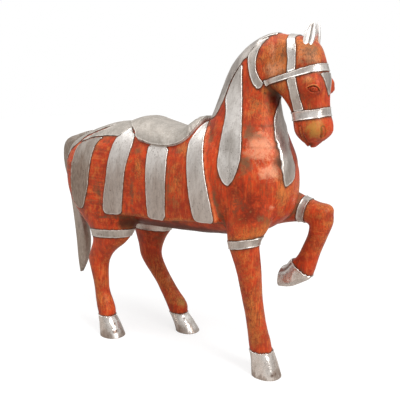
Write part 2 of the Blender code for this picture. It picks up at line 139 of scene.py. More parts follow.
def tube(grid):
    """Points and triangles of a grid of rings, closed round and with a fan at each end."""
    rows, count = grid.shape[:2]
    index = np.arange(rows * count).reshape(rows, count)
    a = index[:-1]
    b = np.roll(a, -1, axis=1)
    c = np.roll(index[1:], -1, axis=1)
    d = index[1:]
    sides = quads(a, b, c, d)
    start = np.full(count, rows * count)
    end = start + 1
    near = np.stack([start, np.roll(index[0], -1), index[0]], 1)
    far = np.stack([end, index[-1], np.roll(index[-1], -1)], 1)
    points = np.concatenate([grid.reshape(-1, 3), grid[:1].mean(axis=1), grid[-1:].mean(axis=1)])
    triangles = np.concatenate([sides, near, far])
    corners = points[triangles]
    volume = np.linalg.det(corners).sum()
    return points, triangles if volume > 0 else triangles[:, ::-1]


def egg(centre, radii, count=32):
    """A grid of points on an ellipsoid, its rings square to z."""
    rise = np.linspace(0.02, np.pi - 0.02, count)[:, None]
    turn = full_turn(count)
    x = centre[0] + radii[0] * np.sin(rise) * np.cos(turn)
    y = centre[1] + radii[1] * np.sin(rise) * np.sin(turn)
    z = centre[2] + radii[2] * np.cos(rise) + 0 * turn
    return np.stack([x, y, z], axis=2)


def mesh_of(name, points, triangles):
    mesh = bpy.data.meshes.new(name)
    mesh.vertices.add(len(points))
    mesh.vertices.foreach_set("co", np.ascontiguousarray(points, np.float32).ravel())
    mesh.loops.add(triangles.size)
    mesh.loops.foreach_set("vertex_index", np.ascontiguousarray(triangles, np.int32).ravel())
    mesh.polygons.add(len(triangles))
    mesh.polygons.foreach_set("loop_start", np.arange(0, triangles.size, 3, dtype=np.int32))
    mesh.update()
    mesh.validate()
    return mesh


def piece(name, points, triangles, finish, node, slot, **values):
    """A finished object in metres that stands for a CAD node, with values kept at its corners."""
    mesh = mesh_of(name, (points - MIDDLE) * PART, triangles)
    for key, value in values.items():
        mesh.attributes.new(key, "FLOAT", "POINT").data.foreach_set("value", value.astype(np.float32))
    mesh.shade_smooth()
    mesh.materials.append(finish)
    obj = bpy.data.objects.new(name, mesh)
    bpy.context.scene.collection.objects.link(obj)
    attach(obj, "root")
    if node:
        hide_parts(node)
    return obj


def corner_sums(triangles, values, count):
    """Sums at each corner of a value that each triangle gives to its three corners."""
    flat = triangles.ravel()
    spread = np.repeat(values, 3, axis=0)
    return np.stack([np.bincount(flat, spread[:, k], count) for k in range(values.shape[1])], axis=1)


def normals_of(points, triangles):
    a, b, c = (points[triangles[:, k]] for k in range(3))
    facing = np.cross(b - a, c - a)
    total = corner_sums(triangles, facing, len(points))
    return total / np.maximum(np.linalg.norm(total, axis=1, keepdims=True), 1e-12)


def sides_of(triangles):
    """The two ends of each side of each triangle, in the order that the triangle runs."""
    return np.concatenate([triangles[:, [0, 1]], triangles[:, [1, 2]], triangles[:, [2, 0]]])


def relaxed(points, triangles, rounds):
    """The points after this many rounds of moving each halfway to the mean of its neighbours."""
    ends = np.unique(np.sort(sides_of(triangles), axis=1), axis=0)
    count = len(points)
    near = np.bincount(ends.ravel(), minlength=count)[:, None]
    made = points
    for _ in range(rounds):
        total = np.stack([
            np.bincount(ends[:, 0], made[ends[:, 1], k], count)
            + np.bincount(ends[:, 1], made[ends[:, 0], k], count)
            for k in range(made.shape[1])
        ], axis=1)
        made = made * 0.5 + 0.5 * total / near
    return made


def bell(value, width):
    """1 where the value is 0, falling to both sides: e^-(value / width)^2."""
    return np.exp(-((value / width) ** 2))


def soft_spot(points, centre, reach):
    """A bell in space: 1 at the centre, with its own width along each axis."""
    off = (points - np.array(centre, float)) / np.array(reach)
    return np.exp(-(off**2).sum(axis=1))


def waves(points, scale, seed):
    """A smooth irregular value between about -1 and 1: a sum of sines in seeded directions."""
    random = np.random.default_rng(seed)
    total = np.zeros(len(points))
    for octave in range(3):
        directions = random.normal(size=(5, 3))
        directions /= np.linalg.norm(directions, axis=1, keepdims=True)
        phases = random.uniform(0, 2 * np.pi, 5)
        turns = 2 * np.pi * 1.8**octave / scale
        total += np.sin(points @ directions.T * turns + phases).sum(axis=1) / 5 / 1.6**octave
    return total


# Rings of the carved figure
def torso():
    rows = (
        (-252, 570, 652, 30), (-244, 515, 698, 60), (-218, 462, 722, 93), (-170, 434, 742, 117),
        (-100, 422, 768, 130), (0, 422, 792, 134), (100, 422, 788, 131), (200, 423, 781, 128),
        (290, 425, 772, 128), (345, 427, 782, 129), (400, 430, 803, 130), (500, 440, 795, 131),
        (580, 460, 762, 125), (636, 492, 730, 104), (668, 527, 702, 73), (680, 577, 668, 34),
    )
    return [((x, low), (x, high), half, 2.25, 0) for x, low, high, half in rows]


def neck():
    rows = (
        (387, 780, 682, 590, 120), (399, 822, 683, 680, 106), (414, 858, 664, 735, 92),
        (430, 900, 643, 785, 79), (448, 944, 628, 835, 69), (472, 988, 624, 880, 62),
        (511, 1028, 642, 915, 58), (560, 1058, 676, 950, 54), (604, 1071, 700, 985, 44),
        (640, 1068, 705, 1010, 30),
    )
    return [((x0, z0), (x1, z1), half, 2.2, 0) for x0, z0, x1, z1, half in rows]


def head():
    rows = (
        (1064, 612, 680, 28, 2.2, 0.0, 0), (1046, 598, 734, 46, 2.3, 0.0, 0),
        (1030, 596, 751, 52, 2.4, 0.0, 0), (1015, 594, 760, 56, 2.5, 0.0, 0),
        (980, 592, 772, 59, 2.8, 0.10, 0), (950, 594, 781, 61, 3.0, 0.18, 0),
        (920, 606, 785, 60, 3.0, 0.24, -2), (890, 645, 786, 55, 3.0, 0.26, -4),
        (860, 668, 787, 49, 3.0, 0.20, -7), (832, 682, 789, 48, 3.0, 0.10, -12),
        (806, 684, 796, 53, 2.6, 0.0, -18), (782, 688, 797, 53, 2.4, 0.0, -24),
        (762, 701, 781, 41, 2.3, 0.0, -28), (747, 712, 766, 26, 2.2, 0.0, -30),
        (735, 719, 755, 15, 2.2, 0.0, -30),
    )
    return [
        ((x0, z), (x1, z), half, power, 0, taper, yaw)
        for z, x0, x1, half, power, taper, yaw in rows
    ]


def upright_limb(rows):
    """Level rings given as height, middle, half depth, half width and side."""
    return [((x - a, z), (x + a, z), b, 2.1, y) for z, x, a, b, y in rows]


def fore_right():
    return upright_limb((
        (600, 560, 96, 60, -62), (540, 566, 86, 56, -74), (490, 572, 70, 52, -88),
        (455, 568, 55, 49, -97), (430, 567, 49, 46, -99), (400, 574, 45, 43, -98),
        (350, 582, 40, 38, -92), (300, 586, 36, 35, -85), (250, 590, 33, 32, -78),
        (200, 595, 32, 30, -70), (150, 600, 33, 31, -62), (112, 605, 36, 34, -56),
        (70, 610, 36, 34, -54),
    ))


def hind_right():
    return upright_limb((
        (640, -95, 140, 70, -58), (560, -80, 150, 72, -60), (500, -60, 148, 70, -64),
        (450, -28, 132, 62, -72), (425, -12, 114, 56, -80), (400, -1, 95, 50, -87),
        (360, -8, 70, 43, -93), (322, -38, 51, 37, -96), (287, -57, 45, 34, -97),
        (250, -56, 36, 31, -98), (200, -50, 29, 28, -98), (165, -46, 28, 27, -98),
        (125, -35, 33, 31, -98), (98, -27, 34, 33, -98), (66, -23, 31, 30, -98),
    ))


def hind_left():
    return upright_limb((
        (640, -95, 140, 70, 58), (560, -80, 150, 72, 60), (500, -50, 150, 70, 64),
        (450, 0, 132, 60, 74), (420, 30, 110, 54, 84), (394, 44, 92, 49, 92),
        (345, 34, 64, 43, 96), (300, 30, 49, 36, 97), (270, 32, 46, 34, 97),
        (231, 54, 42, 32, 97), (180, 94, 37, 29, 97), (140, 123, 39, 30, 97),
        (115, 143, 43, 32, 97), (90, 158, 43, 33, 97), (58, 165, 34, 30, 97),
    ))


def fore_left_upper():
    return [
        ((500, 446), (500, 602), 50, 2.1, 70), ((560, 458), (560, 608), 54, 2.1, 80),
        ((620, 476), (630, 588), 48, 2.1, 88), ((675, 486), (680, 570), 40, 2.1, 90),
        ((712, 480), (726, 556), 36, 2.1, 90), ((745, 482), (765, 550), 33, 2.1, 90),
        ((758, 498), (779, 532), 19, 2.1, 90),
    ]


def fore_left_lower():
    return [
        ((706, 512), (774, 536), 30, 2.1, 90), ((702, 488), (778, 494), 33, 2.1, 90),
        ((696, 448), (761, 446), 29, 2.1, 90), ((678, 404), (740, 391), 28, 2.1, 90),
        ((660, 368), (725, 341), 30, 2.1, 90), ((640, 352), (714, 306), 34, 2.1, 90),
    ]


def standing_hoof(x, y, crown_x, tall, crown, sole):
    """A hoof from the coronet down through the floor line: wider and further forward below."""
    rows = (
        (tall + 6, crown_x, crown - 4, crown - 5), (tall - 8, crown_x + 2, crown + 1, crown - 1),
        (tall / 2, (x + crown_x) / 2 + 2, (crown + sole) / 2, (crown + sole) / 2 - 3),
        (0, x, sole, sole - 4), (-30, x + 8, sole + 3, sole - 2),
    )
    return [((cx - a, z), (cx + a, z), b, 2.2, y) for z, cx, a, b in rows]


def raised_hoof():
    """The hoof of the raised leg, a ring longer than it shows: flat_sole cuts it level."""
    return [
        ((642, 358), (716, 314), 30, 2.2, 90), ((634, 348), (705, 298), 34, 2.2, 90),
        ((626, 336), (671, 277), 36, 2.2, 90), ((618, 330), (640, 262), 37, 2.2, 90),
        ((611, 327), (604, 257), 37, 2.2, 90), ((596, 326), (589, 255), 37, 2.2, 90),
    ]


def blanket():
    """The thick saddle cloth, proud of the flanks."""
    rows = (
        (-30, 784, 133), (30, 792, 135), (100, 792, 137), (200, 786, 136), (290, 778, 136),
        (345, 788, 136), (400, 808, 137), (500, 802, 138),
    )
    return [((x, 330), (x, top), half, 2.6, 0) for x, top, half in rows]


BLANKET_REAR = -14
BLANKET = (
    (BLANKET_REAR, 453), (60, 466), (135, 472), (200, 472), (276, 472), (338, 480), (420, 487),
    (486, 490), (469, 570), (450, 650), (431, 731), (421, 782), (414, 840),
    (BLANKET_REAR, 840),
)
BLANKET_LOW = BLANKET[:8]

# Side-view outlines of the sheets
CREST = (
    (630, 1066), (600, 1060), (572, 1034), (556, 1014), (541, 1000), (526, 991), (490, 936),
    (470, 880), (452, 843), (440, 822), (422, 815), (340, 815), (340, 1000), (450, 1110), (609, 1110),
)
CRESCENT = (
    (609, 1059), (590, 1040), (580, 1018), (574, 990), (577, 962), (588, 938), (600, 923),
    (592, 910), (582, 905), (568, 920), (558, 942), (550, 972), (544, 1007), (556, 1022),
    (578, 1050),
)
LAPPET = (
    (526, 985), (531, 940), (535, 900), (546, 814), (558, 740), (559, 700), (555, 668),
    (545, 638), (527, 614), (511, 624), (496, 645), (485, 672), (483, 722), (487, 790),
    (487, 840), (475, 878), (493, 932),
)
LAPPET_FORE = (
    (335, 986), (345, 930), (364, 896), (407, 886), (450, 880), (466, 862), (479, 800),
    (488, 765), (496, 727), (503, 680), (507, 640), (504, 614), (492, 622), (474, 640),
    (473, 665), (475, 705), (466, 740), (440, 775), (398, 812), (348, 850), (312, 900),
    (308, 936),
)
HEAD_CLEAR = ((670, 728), (668, 800), (650, 850), (637, 905), (900, 905), (900, 728))
CROWN = (
    (668, 1110), (669, 1055), (676, 1017), (681, 988), (680, 938), (706, 946), (704, 1002),
    (703, 1025), (690, 1056), (688, 1110),
)
BROW_TOP = ((598, 930), (642, 941), (680, 952), (704, 960), (732, 968), (758, 976), (820, 990))
BROW_LOW = ((820, 966), (772, 956), (719, 944), (690, 937), (659, 928), (611, 917), (606, 912))
NOSE_TOP = ((662, 838), (689, 840), (718, 844), (748, 847), (774, 851), (820, 864))
NOSE_LOW = ((820, 838), (775, 824), (735, 818), (690, 813), (662, 811))
CHEEK = (
    (677, 950), (681, 932), (689, 898), (698, 843), (701, 825), (735, 828), (730, 847), (718, 890),
    (703, 957),
)
PENDANT = ((-36, 953), (-18, 918), (-3, 888), (3, 888), (18, 918), (36, 953))
SADDLE_EDGE = (
    (30, 757), (141, 757), (150, 747), (160, 741), (185, 735), (211, 728),
    (246, 725), (281, 726), (312, 732), (334, 742), (352, 756), (366, 776), (376, 800),
)

# The saddle's rear edge, as x and the distance from the spine
SADDLE_REAR = ((44, 0), (56, 22), (80, 50), (104, 78), (119, 95), (132, 106), (141, 114), (150, 150))

CROUP = (
    (-240, 640), (-218, 650), (-211, 661), (-197, 685), (-158, 711), (-145, 724), (-122, 740),
    (-89, 751), (-61, 762), (-31, 771), (2, 781), (-27, 766), (-52, 758), (-82, 746), (-100, 739),
    (-124, 728), (-147, 714), (-128, 719), (-74, 736), (0, 744), (54, 745), (128, 746), (142, 752),
    (142, 860), (-240, 860),
)
STRIP_1 = (
    (-147, 703), (-156, 682), (-161, 640), (-169, 558), (-163, 500), (-146, 480), (-131, 474),
    (-108, 476), (-96, 484), (-84, 515), (-72, 555), (-60, 621), (-52, 672), (-44, 710),
    (-30, 729), (-16, 738), (-30, 737), (-74, 731), (-98, 724), (-128, 714),
)
STRIP_2 = (
    (43, 715), (34, 673), (23, 592), (8, 530), (2, 485), (10, 472), (26, 469), (84, 476),
    (94, 488), (105, 573), (113, 638), (123, 682), (130, 712), (131, 744), (122, 756), (112, 764),
    (97, 777), (84, 766), (68, 752), (52, 740),
)
STRIP_3 = (
    (202, 727), (203, 661), (208, 530), (213, 478), (285, 478), (287, 560), (288, 651),
    (283, 723),
)
STRIP_4 = (
    (375, 764), (364, 742), (369, 691), (382, 585), (398, 510), (408, 494), (425, 491),
    (478, 494), (472, 530), (461, 574), (442, 650), (426, 722), (415, 784), (404, 801),
    (395, 806), (386, 790),
)
RAISED_CAP = ((643, 357), (716, 308), (726, 280), (650, 230), (570, 230), (570, 350), (620, 362))


# Distances, in parts
def rounded(outline, rounds=2, share=0.16):
    """A closed outline with each corner cut off at this share of its two sides."""
    made = np.array(outline, float)
    for _ in range(rounds):
        after = np.roll(made, -1, axis=0)
        made = np.stack([(1 - share) * made + share * after, share * made + (1 - share) * after], 1)
        made = made.reshape(-1, 2)
    return made


def from_line(u, v, line):
    """Distance from an open line of points."""
    line = np.array(line, float)
    least = np.full(len(u), 1e9)
    for a, b in zip(line[:-1], line[1:]):
        run = b - a
        share = np.clip(((u - a[0]) * run[0] + (v - a[1]) * run[1]) / (run @ run), 0, 1)
        least = np.minimum(least, np.hypot(u - a[0] - share * run[0], v - a[1] - share * run[1]))
    return least


def from_edge(u, v, outline, rounds=2):
    """Signed distance from a closed outline, negative inside."""
    line = rounded(outline, rounds)
    line = np.concatenate([line, line[:1]])
    low = line.min(axis=0) - FAR
    high = line.max(axis=0) + FAR
    near = (u > low[0]) & (u < high[0]) & (v > low[1]) & (v < high[1])
    made = np.full(len(u), FAR)
    un, vn = u[near], v[near]
    inside = np.zeros(len(un), bool)
    for a, b in zip(line[:-1], line[1:]):
        crosses = (a[1] > vn) != (b[1] > vn)
        rise = b[1] - a[1] if b[1] != a[1] else 1e-9
        inside ^= crosses & (un < a[0] + (vn - a[1]) / rise * (b[0] - a[0]))
    made[near] = from_line(un, vn, line) * np.where(inside, -1, 1)
    return made


def from_slab(points, centre, normal, tall, wide):
    """Signed distance from the two faces of a flat slab; past its sides, never less than the way back."""
    axis = np.array(normal, float) / np.linalg.norm(normal)
    off = points - np.array(centre, float)
    level = np.abs(off @ axis) - tall / 2
    beside = np.maximum(np.abs(off[:, 0]) - wide[0] / 2, np.abs(off[:, 1]) - wide[1] / 2)
    return np.where(beside < 0, level, np.maximum(level, beside))


# The carved wood
def carved_blocks():
    """Every limb, the saddle cloth and the brows as closed skins that run into each other."""
    limbs = (
        torso(), neck(), head(), fore_right(), hind_right(), hind_left(), fore_left_upper(),
        fore_left_lower(), raised_hoof(),
        standing_hoof(631, -53, 610, 86, 36, 47), standing_hoof(1, -98, -26, 81, 32, 46),
        standing_hoof(207, 97, 162, 72, 32, 44),
    )
    grids = [loft(stations) for stations in limbs]
    grids += [egg((750, 43 * side, 916), (35, 25, 34)) for side in (-1, 1)]
    cloth = loft(blanket(), 96, 6)
    grids.append(cloth[cloth[:, 0, 0] > BLANKET_REAR])
    return grids


def joined(parts):
    """The points and triangles of many bodies as those of one."""
    points = []
    triangles = []
    count = 0
    for some, faces in parts:
        points.append(some)
        triangles.append(faces + count)
        count += len(some)
    return np.concatenate(points), np.concatenate(triangles)


def cloth_block(grid):
    """The saddle cloth's skin kept inside its side-view outline: front, rear and lower edges."""
    points, triangles = tube(grid)
    obj = bpy.data.objects.new("cloth", mesh_of("cloth", points, triangles))
    outline = np.array(BLANKET, float)
    well_outside = 250.0
    walls = np.stack([np.insert(outline, 1, y, axis=1) for y in (-well_outside, well_outside)])
    cutter_points, cutter_triangles = tube(walls)
    cutter = bpy.data.objects.new("cutter", mesh_of("cutter", cutter_points, cutter_triangles))
    for one in (obj, cutter):
        bpy.context.scene.collection.objects.link(one)
    cut = obj.modifiers.new("Edges", "BOOLEAN")
    cut.operation = "INTERSECT"
    cut.solver = "EXACT"
    cut.object = cutter
    points, triangles = evaluated(obj)
    for one in (obj, cutter):
        bpy.data.objects.remove(one, do_unlink=True)
    return points, triangles


def read_mesh(mesh):
    """Points and triangles of a mesh."""
    mesh.calc_loop_triangles()
    points = np.empty(len(mesh.vertices) * 3, np.float32)
    triangles = np.empty(len(mesh.loop_triangles) * 3, np.int32)
    mesh.vertices.foreach_get("co", points)
    mesh.loop_triangles.foreach_get("vertices", triangles)
    return points.reshape(-1, 3).astype(float), triangles.reshape(-1, 3)


def evaluated(obj):
    """Points and triangles of an object with its modifiers."""
    bpy.context.view_layer.update()
    final = obj.evaluated_get(bpy.context.evaluated_depsgraph_get())
    made = read_mesh(final.to_mesh())
    final.to_mesh_clear()
    return made


def fused_skin():
    """One smooth skin round all the blocks."""
    grids = carved_blocks()
    parts = [tube(grid) for grid in grids[:-1]] + [cloth_block(grids[-1])]
    points, triangles = joined(parts)
    obj = bpy.data.objects.new("blocks", mesh_of("blocks", points, triangles))
    bpy.context.scene.collection.objects.link(obj)
    remesh = obj.modifiers.new("Voxels", "REMESH")
    remesh.mode = "VOXEL"
    remesh.voxel_size = VOXEL
    smooth = obj.modifiers.new("Smooth", "SMOOTH")
    smooth.factor = SMOOTHING
    smooth.iterations = SMOOTHING_ROUNDS
    skin = evaluated(obj)
    bpy.data.objects.remove(obj, do_unlink=True)
    return skin


def wood_skin():
    """The fused skin, cut flat at the floor and made finer on the face and hooves."""
    bm = bmesh.new()
    bm.from_mesh(mesh_of("skin", *fused_skin()))
    everything = bm.verts[:] + bm.edges[:] + bm.faces[:]
    floor = {"plane_co": (0, 0, 0), "plane_no": (0, 0, -1)}
    bmesh.ops.bisect_plane(bm, geom=everything, clear_outer=True, **floor)
    rims = [edge for edge in bm.edges if edge.is_boundary]
    bmesh.ops.holes_fill(bm, edges=rims, sides=0)
    for is_near in (is_fine, is_finest):
        fine = [edge for edge in bm.edges if is_near(edge.verts[0].co) or is_near(edge.verts[1].co)]
        bmesh.ops.subdivide_edges(bm, edges=fine, cuts=1, use_grid_fill=True)
        bmesh.ops.triangulate(bm, faces=bm.faces)
    mesh = bpy.data.meshes.new("skin_fine")
    bm.to_mesh(mesh)
    bm.free()
    return read_mesh(mesh)


def is_fine(place):
    """The parts of the wood with small carving: the face and the hooves."""
    face = place.x > 690 and 725 < place.z < 965
    raised = place.x > 600 and place.y > 40 and 240 < place.z < 380
    return face or raised or 0 <= place.z < 100


def is_finest(place):
    """The eyes and the muzzle."""
    eye = place.x > 725 and 880 < place.z < 935 and abs(place.y) > 25
    return eye or (place.x > 705 and 728 < place.z < 812)


def across_face(points):
    """Distance along the face from the cheek round to the nose, the same on both sides."""
    return ACROSS_X * points[:, 0] - ACROSS_Y * np.abs(points[:, 1])


# The eye, in parts: its middle across the face and in height, its slope, its almond and its ball
EYE_ACROSS = 592.0
EYE_HEIGHT = 905
EYE_SLOPE = math.radians(-13)
EYE_HALF_LENGTH = 17.5
EYE_ABOVE = 9.5
EYE_BELOW = 7.5
BALL_RADIUS = 6.4


def eye_shape(points):
    """Almond value, 1 on its outline: (a / half length)^2 + |b| / height; height b; ball distance."""
    forward = across_face(points) - EYE_ACROSS
    up = points[:, 2] - EYE_HEIGHT
    a = forward * math.cos(EYE_SLOPE) + up * math.sin(EYE_SLOPE)
    b = -forward * math.sin(EYE_SLOPE) + up * math.cos(EYE_SLOPE)
    almond = (a / EYE_HALF_LENGTH) ** 2 + np.abs(b) / np.where(b > 0, EYE_ABOVE, EYE_BELOW)
    ball = np.hypot(a + 3, b - 1) / BALL_RADIUS
    on_face = (points[:, 0] > 715) & (np.abs(points[:, 1]) > 20)
    outside = 4
    almond = np.where(on_face, np.minimum(almond, outside), outside)
    return almond, b, np.where(on_face, np.minimum(ball, outside), outside)


def eye_relief(points):
    """Almond eyes: a round ball inside a groove, with a raised lid round it."""
    almond, b, ball = eye_shape(points)
    made = 2.6 * np.sqrt(np.clip(1 - ball**2, 0, 1)) * (almond < 1)
    made += 2.6 * bell(almond - 1.35, 0.20) * np.where(b > 0, 1.0, 0.7)
    return made - 2.8 * bell(almond - 0.98, 0.15)


def from_path(points, line):
    """Distance from an open line of points in space."""
    ends = np.array(line, float)
    near = np.all((points > ends.min(axis=0) - FAR) & (points < ends.max(axis=0) + FAR), axis=1)
    some = points[near]
    least = np.full(len(some), 1e9)
    for a, b in zip(ends[:-1], ends[1:]):
        run = b - a
        share = np.clip((some - a) @ run / (run @ run), 0, 1)[:, None]
        least = np.minimum(least, np.linalg.norm(some - a - share * run, axis=1))
    made = np.full(len(points), 2 * FAR)
    made[near] = least
    return made


# Lines in space along the nostrils and under the jaw
NOSTRILS = (
    ((722, -49, 794), (726, -46, 782), (728, -40, 769), (730, -34, 757)),
    ((786, -32, 794), (787, -31, 784), (783, -26, 774)),
)
THROAT = ((577, -57, 909), (595, -52, 898), (608, -39, 890), (622, -26, 886))


def nostril_distance(points):
    return np.min([from_path(points, line) for line in NOSTRILS], axis=0)


def throat_distance(points):
    """Distance from the line under the jaw, the same on both sides."""
    x, y, z = points.T
    return from_path(np.column_stack([x, -np.abs(y), z]), THROAT)


def parting_distance(points):
    """Distance across the photograph from the parting of the lips."""
    return ACROSS_X * points[:, 0] + ACROSS_Y * points[:, 1] - 597


def muzzle_relief(points):
    """Nostrils as a raised wing inside a groove, a line for the mouth and one under the jaw."""
    nostril = nostril_distance(points)
    total = 3.0 * bell(nostril, 3.4) - 2.8 * bell(nostril - 7.2, 2.8)
    x, _, z = points.T
    front = (x > 700) & (z < 790) & (z > 715)
    mouth = z - 750 - 0.10 * (x - 740)
    total += np.where(front, -0.9 * bell(mouth, 2.0), 0)
    return total - 2.2 * bell(throat_distance(points), 2.2)


def flat_sole(points):
    """The raised hoof cut off level: x is kept ahead of a plane that leans a little."""
    x, y, z = points.T
    under = (np.abs(x - 600) < 40) & (np.abs(y - 90) < 45) & (np.abs(z - 293) < 46)
    level = 604 + (z - 257) * 0.1
    return np.column_stack([np.where(under, np.maximum(x, level), x), y, z])


def shaped_muzzle(points):
    """Draws the lips in towards the chin as a square law of depth, and parts them with a V."""
    x, y, z = points.T
    middle = 741
    low = np.where((x > 690) & (z < 772) & (z > 700), (772 - z) / 37, 0)
    keep = 1 - 0.34 * np.clip(low, 0, 1) ** 2
    x = middle + (x - middle) * keep
    y = y * keep
    lips = (x > 700) & (z < 752) & (z > 715)
    parting = 745 - 1.7 * np.abs(parting_distance(np.column_stack([x, y])))
    return np.column_stack([x, y, np.where(lips, np.maximum(z, parting), z)])


def beside_bead(points):
    """Distance from the foremost strips' outline, and which points are on the side ahead of them."""
    x, y, z = points.T
    ahead = (x > 405) & (z > 495) & (z < 790) & (np.abs(y) > 60)
    return from_edge(x, z, STRIP_4, 1), ahead


def body_relief(points):
    """The cloth's undercut lower edge, the bead along its front and slow marks of the gouge."""
    x, y, z = points.T
    low = from_line(x, z, BLANKET_LOW)
    flank = np.clip((np.abs(y) - 70) / 20, 0, 1)
    undercut = -3.0 * bell(low - 1, 4.0) * flank
    strip, ahead = beside_bead(points)
    bead = np.where(ahead, 3.0 * bell(strip - 6.5, 2.8), 0)
    gouged = 0.45 * waves(points, 95, 3) + 0.16 * waves(points, 34, 4)
    return undercut + bead + gouged


def carved_wood():
    """Points, triangles and outward directions of the finished wood."""
    points, triangles = wood_skin()
    brow = soft_spot(points, (752, 0, 917), (55, np.inf, 48))[:, None]
    points = points + (relaxed(points, triangles, 34) - points) * brow
    points = flat_sole(shaped_muzzle(points))
    outward = normals_of(points, triangles)
    relief = eye_relief(points) + muzzle_relief(points) + body_relief(points)
    relief = np.where(points[:, 2] < 1, 0, relief)
    points = points + outward * relief[:, None]
    points[:, 2] = np.maximum(points[:, 2], 0)
    return points, triangles, normals_of(points, triangles)


# The metal sheets
def saddle_rear(beside):
    """Where the saddle's rear edge is at this distance from the spine."""
    return np.interp(beside, *np.array(SADDLE_REAR, float).T[::-1])


def paired_fields(points):
    """The sheets that are the same on both sides: crescents, cheek straps and flank strips."""
    x, y, z = points.T
    fields = {}
    pairs = {
        "mane_crescent": CRESCENT, "cheek_strap": CHEEK, "flank_strip_1": STRIP_1,
        "flank_strip_2": STRIP_2, "flank_strip_3": STRIP_3, "flank_strip_4": STRIP_4,
    }
    over_brow = from_edge(x, z, BROW_LOW[::-1] + ((820, 1100), (606, 1100)), 0)
    under_nose = from_edge(x, z, NOSE_TOP + ((820, 700), (662, 700)), 0)
    by_saddle = np.where(z > 757, x - saddle_rear(np.abs(y)) + 1, -FAR)
    for name, outline in pairs.items():
        edge = from_edge(x, z, outline, 1)
        if name == "cheek_strap":
            edge = np.maximum(edge, np.maximum(-over_brow, -under_nose))
        if name == "flank_strip_2":
            edge = np.maximum(edge, by_saddle)
        fields[name + "_right"] = np.maximum(edge, y + 2)
        fields[name + "_left"] = np.maximum(edge, 2 - y)
    return fields


def mane_fields(points, crescent):
    """The crest beside the crescents, and the two lappets, the left drawn as seen from the front left."""
    x, y, z = points.T
    fields = {
        "mane_crest": np.maximum(from_edge(x, z, CREST, 1), 0.5 - crescent),
        "mane_lappet_right": np.maximum(from_edge(x, z, LAPPET), y + 2),
    }
    across = (x - y) * math.sqrt(0.5)
    near = (x + y) * math.sqrt(0.5)
    shifted = across - np.interp(z, (560, 600, 640, 700, 745), (0, 5, 9, 8, 0))
    fore = np.maximum(from_edge(shifted, z, LAPPET_FORE), 365 - near)
    fore = np.maximum(fore, -from_edge(x, z, HEAD_CLEAR))
    levels = (600, 640, 692, 709, 743, 772, 800, 821, 872)
    fore = np.maximum(fore, np.interp(z, levels, (-90, -84, -68, -62, -54, -45, -37, -30, 6)) - y)
    fields["mane_lappet_left"] = fore
    return fields


def bridle_fields(points):
    """The crown piece down to the browband, the two bands round the head and the pendant."""
    x, y, z = points.T
    under_brow = from_edge(x, z, BROW_TOP + ((820, 800), (598, 800)), 0)
    return {
        "crown_piece": np.maximum(from_edge(x, z, CROWN, 0), -under_brow),
        "browband": from_edge(x, z, BROW_TOP + BROW_LOW, 0),
        "noseband": from_edge(x, z, NOSE_TOP + NOSE_LOW, 0),
        "face_pendant": np.maximum(from_edge(y, z, PENDANT, 1), 700 - x),
    }


def croup_field(points, second_strips):
    """The sheet over the croup, clear of the tail's root, the saddle and the second strips."""
    x, y, z = points.T
    root = np.maximum(np.abs(y) - 22, x + 150)
    croup = np.maximum(from_edge(x, z, CROUP, 1), -root)
    croup = np.maximum(croup, np.where(z > 700, x - saddle_rear(np.abs(y)) + 1, -FAR))
    return np.maximum(croup, 0.6 - second_strips)


def leg_fields(points):
    """The bands as slabs across the legs, and the caps of the hooves with their toothed upper edges."""
    x, y, z = points.T
    fields = {}
    bands = (
        ("fore_right", (572, -99, 441), (-0.19, 0, 0.98), 26, (150, 116)),
        ("hind_right", (2, -88, 396), (-0.08, 0, 1), 28, (240, 124)),
        ("hind_left", (44, 94, 394), (0, 0, 1), 26, (240, 124)),
    )
    for name, centre, normal, tall, wide in bands:
        fields["leg_band_" + name] = from_slab(points, centre, normal, tall, wide)
    off = points - np.array((683, 92, 525.0))
    arm = np.maximum(np.abs(off[:, 1]) - 48, np.abs(off[:, 2]) - 60)
    axis = np.array((1, 0, -0.22)) / math.hypot(1, 0.22)
    fields["leg_band_fore_left"] = np.where(arm < 0, np.abs(off @ axis) - 12, FAR)
    caps = (
        ("fore_right", 624, -54, 82), ("hind_right", -6, -98, 77), ("hind_left", 196, 97, 67),
    )
    for name, cx, cy, tall in caps:
        around = np.arctan2(y - cy, x - cx)
        teeth = 2.6 * np.abs(((around * 6.1 + np.sin(around * 2.3)) % 1.0) * 2 - 1) + waves(points, 30, 8)
        beside = np.maximum(np.abs(x - cx) - 85, np.abs(y - cy) - 65)
        fields["hoof_cap_" + name] = np.where(beside < 0, z - tall + 1.3 - teeth, FAR)
    cap = from_edge(x, z, RAISED_CAP, 0)
    teeth = 2.2 * np.abs(((np.arctan2(y - 90, x - 640) * 5.3) % 1.0) * 2 - 1)
    fields["hoof_cap_fore_left"] = np.where((y > 30) & (y < 150), cap - teeth + 1, FAR)
    return fields


def sheet_fields(points):
    """For each sheet, the signed distance of every point of the wood from the sheet's edge."""
    fields = paired_fields(points)
    crescent = np.minimum(fields["mane_crescent_right"], fields["mane_crescent_left"])
    fields.update(mane_fields(points, crescent))
    fields.update(bridle_fields(points))
    second_strips = np.minimum(fields["flank_strip_2_right"], fields["flank_strip_2_left"])
    fields["croup_sheet"] = croup_field(points, second_strips)
    fields.update(leg_fields(points))
    return fields


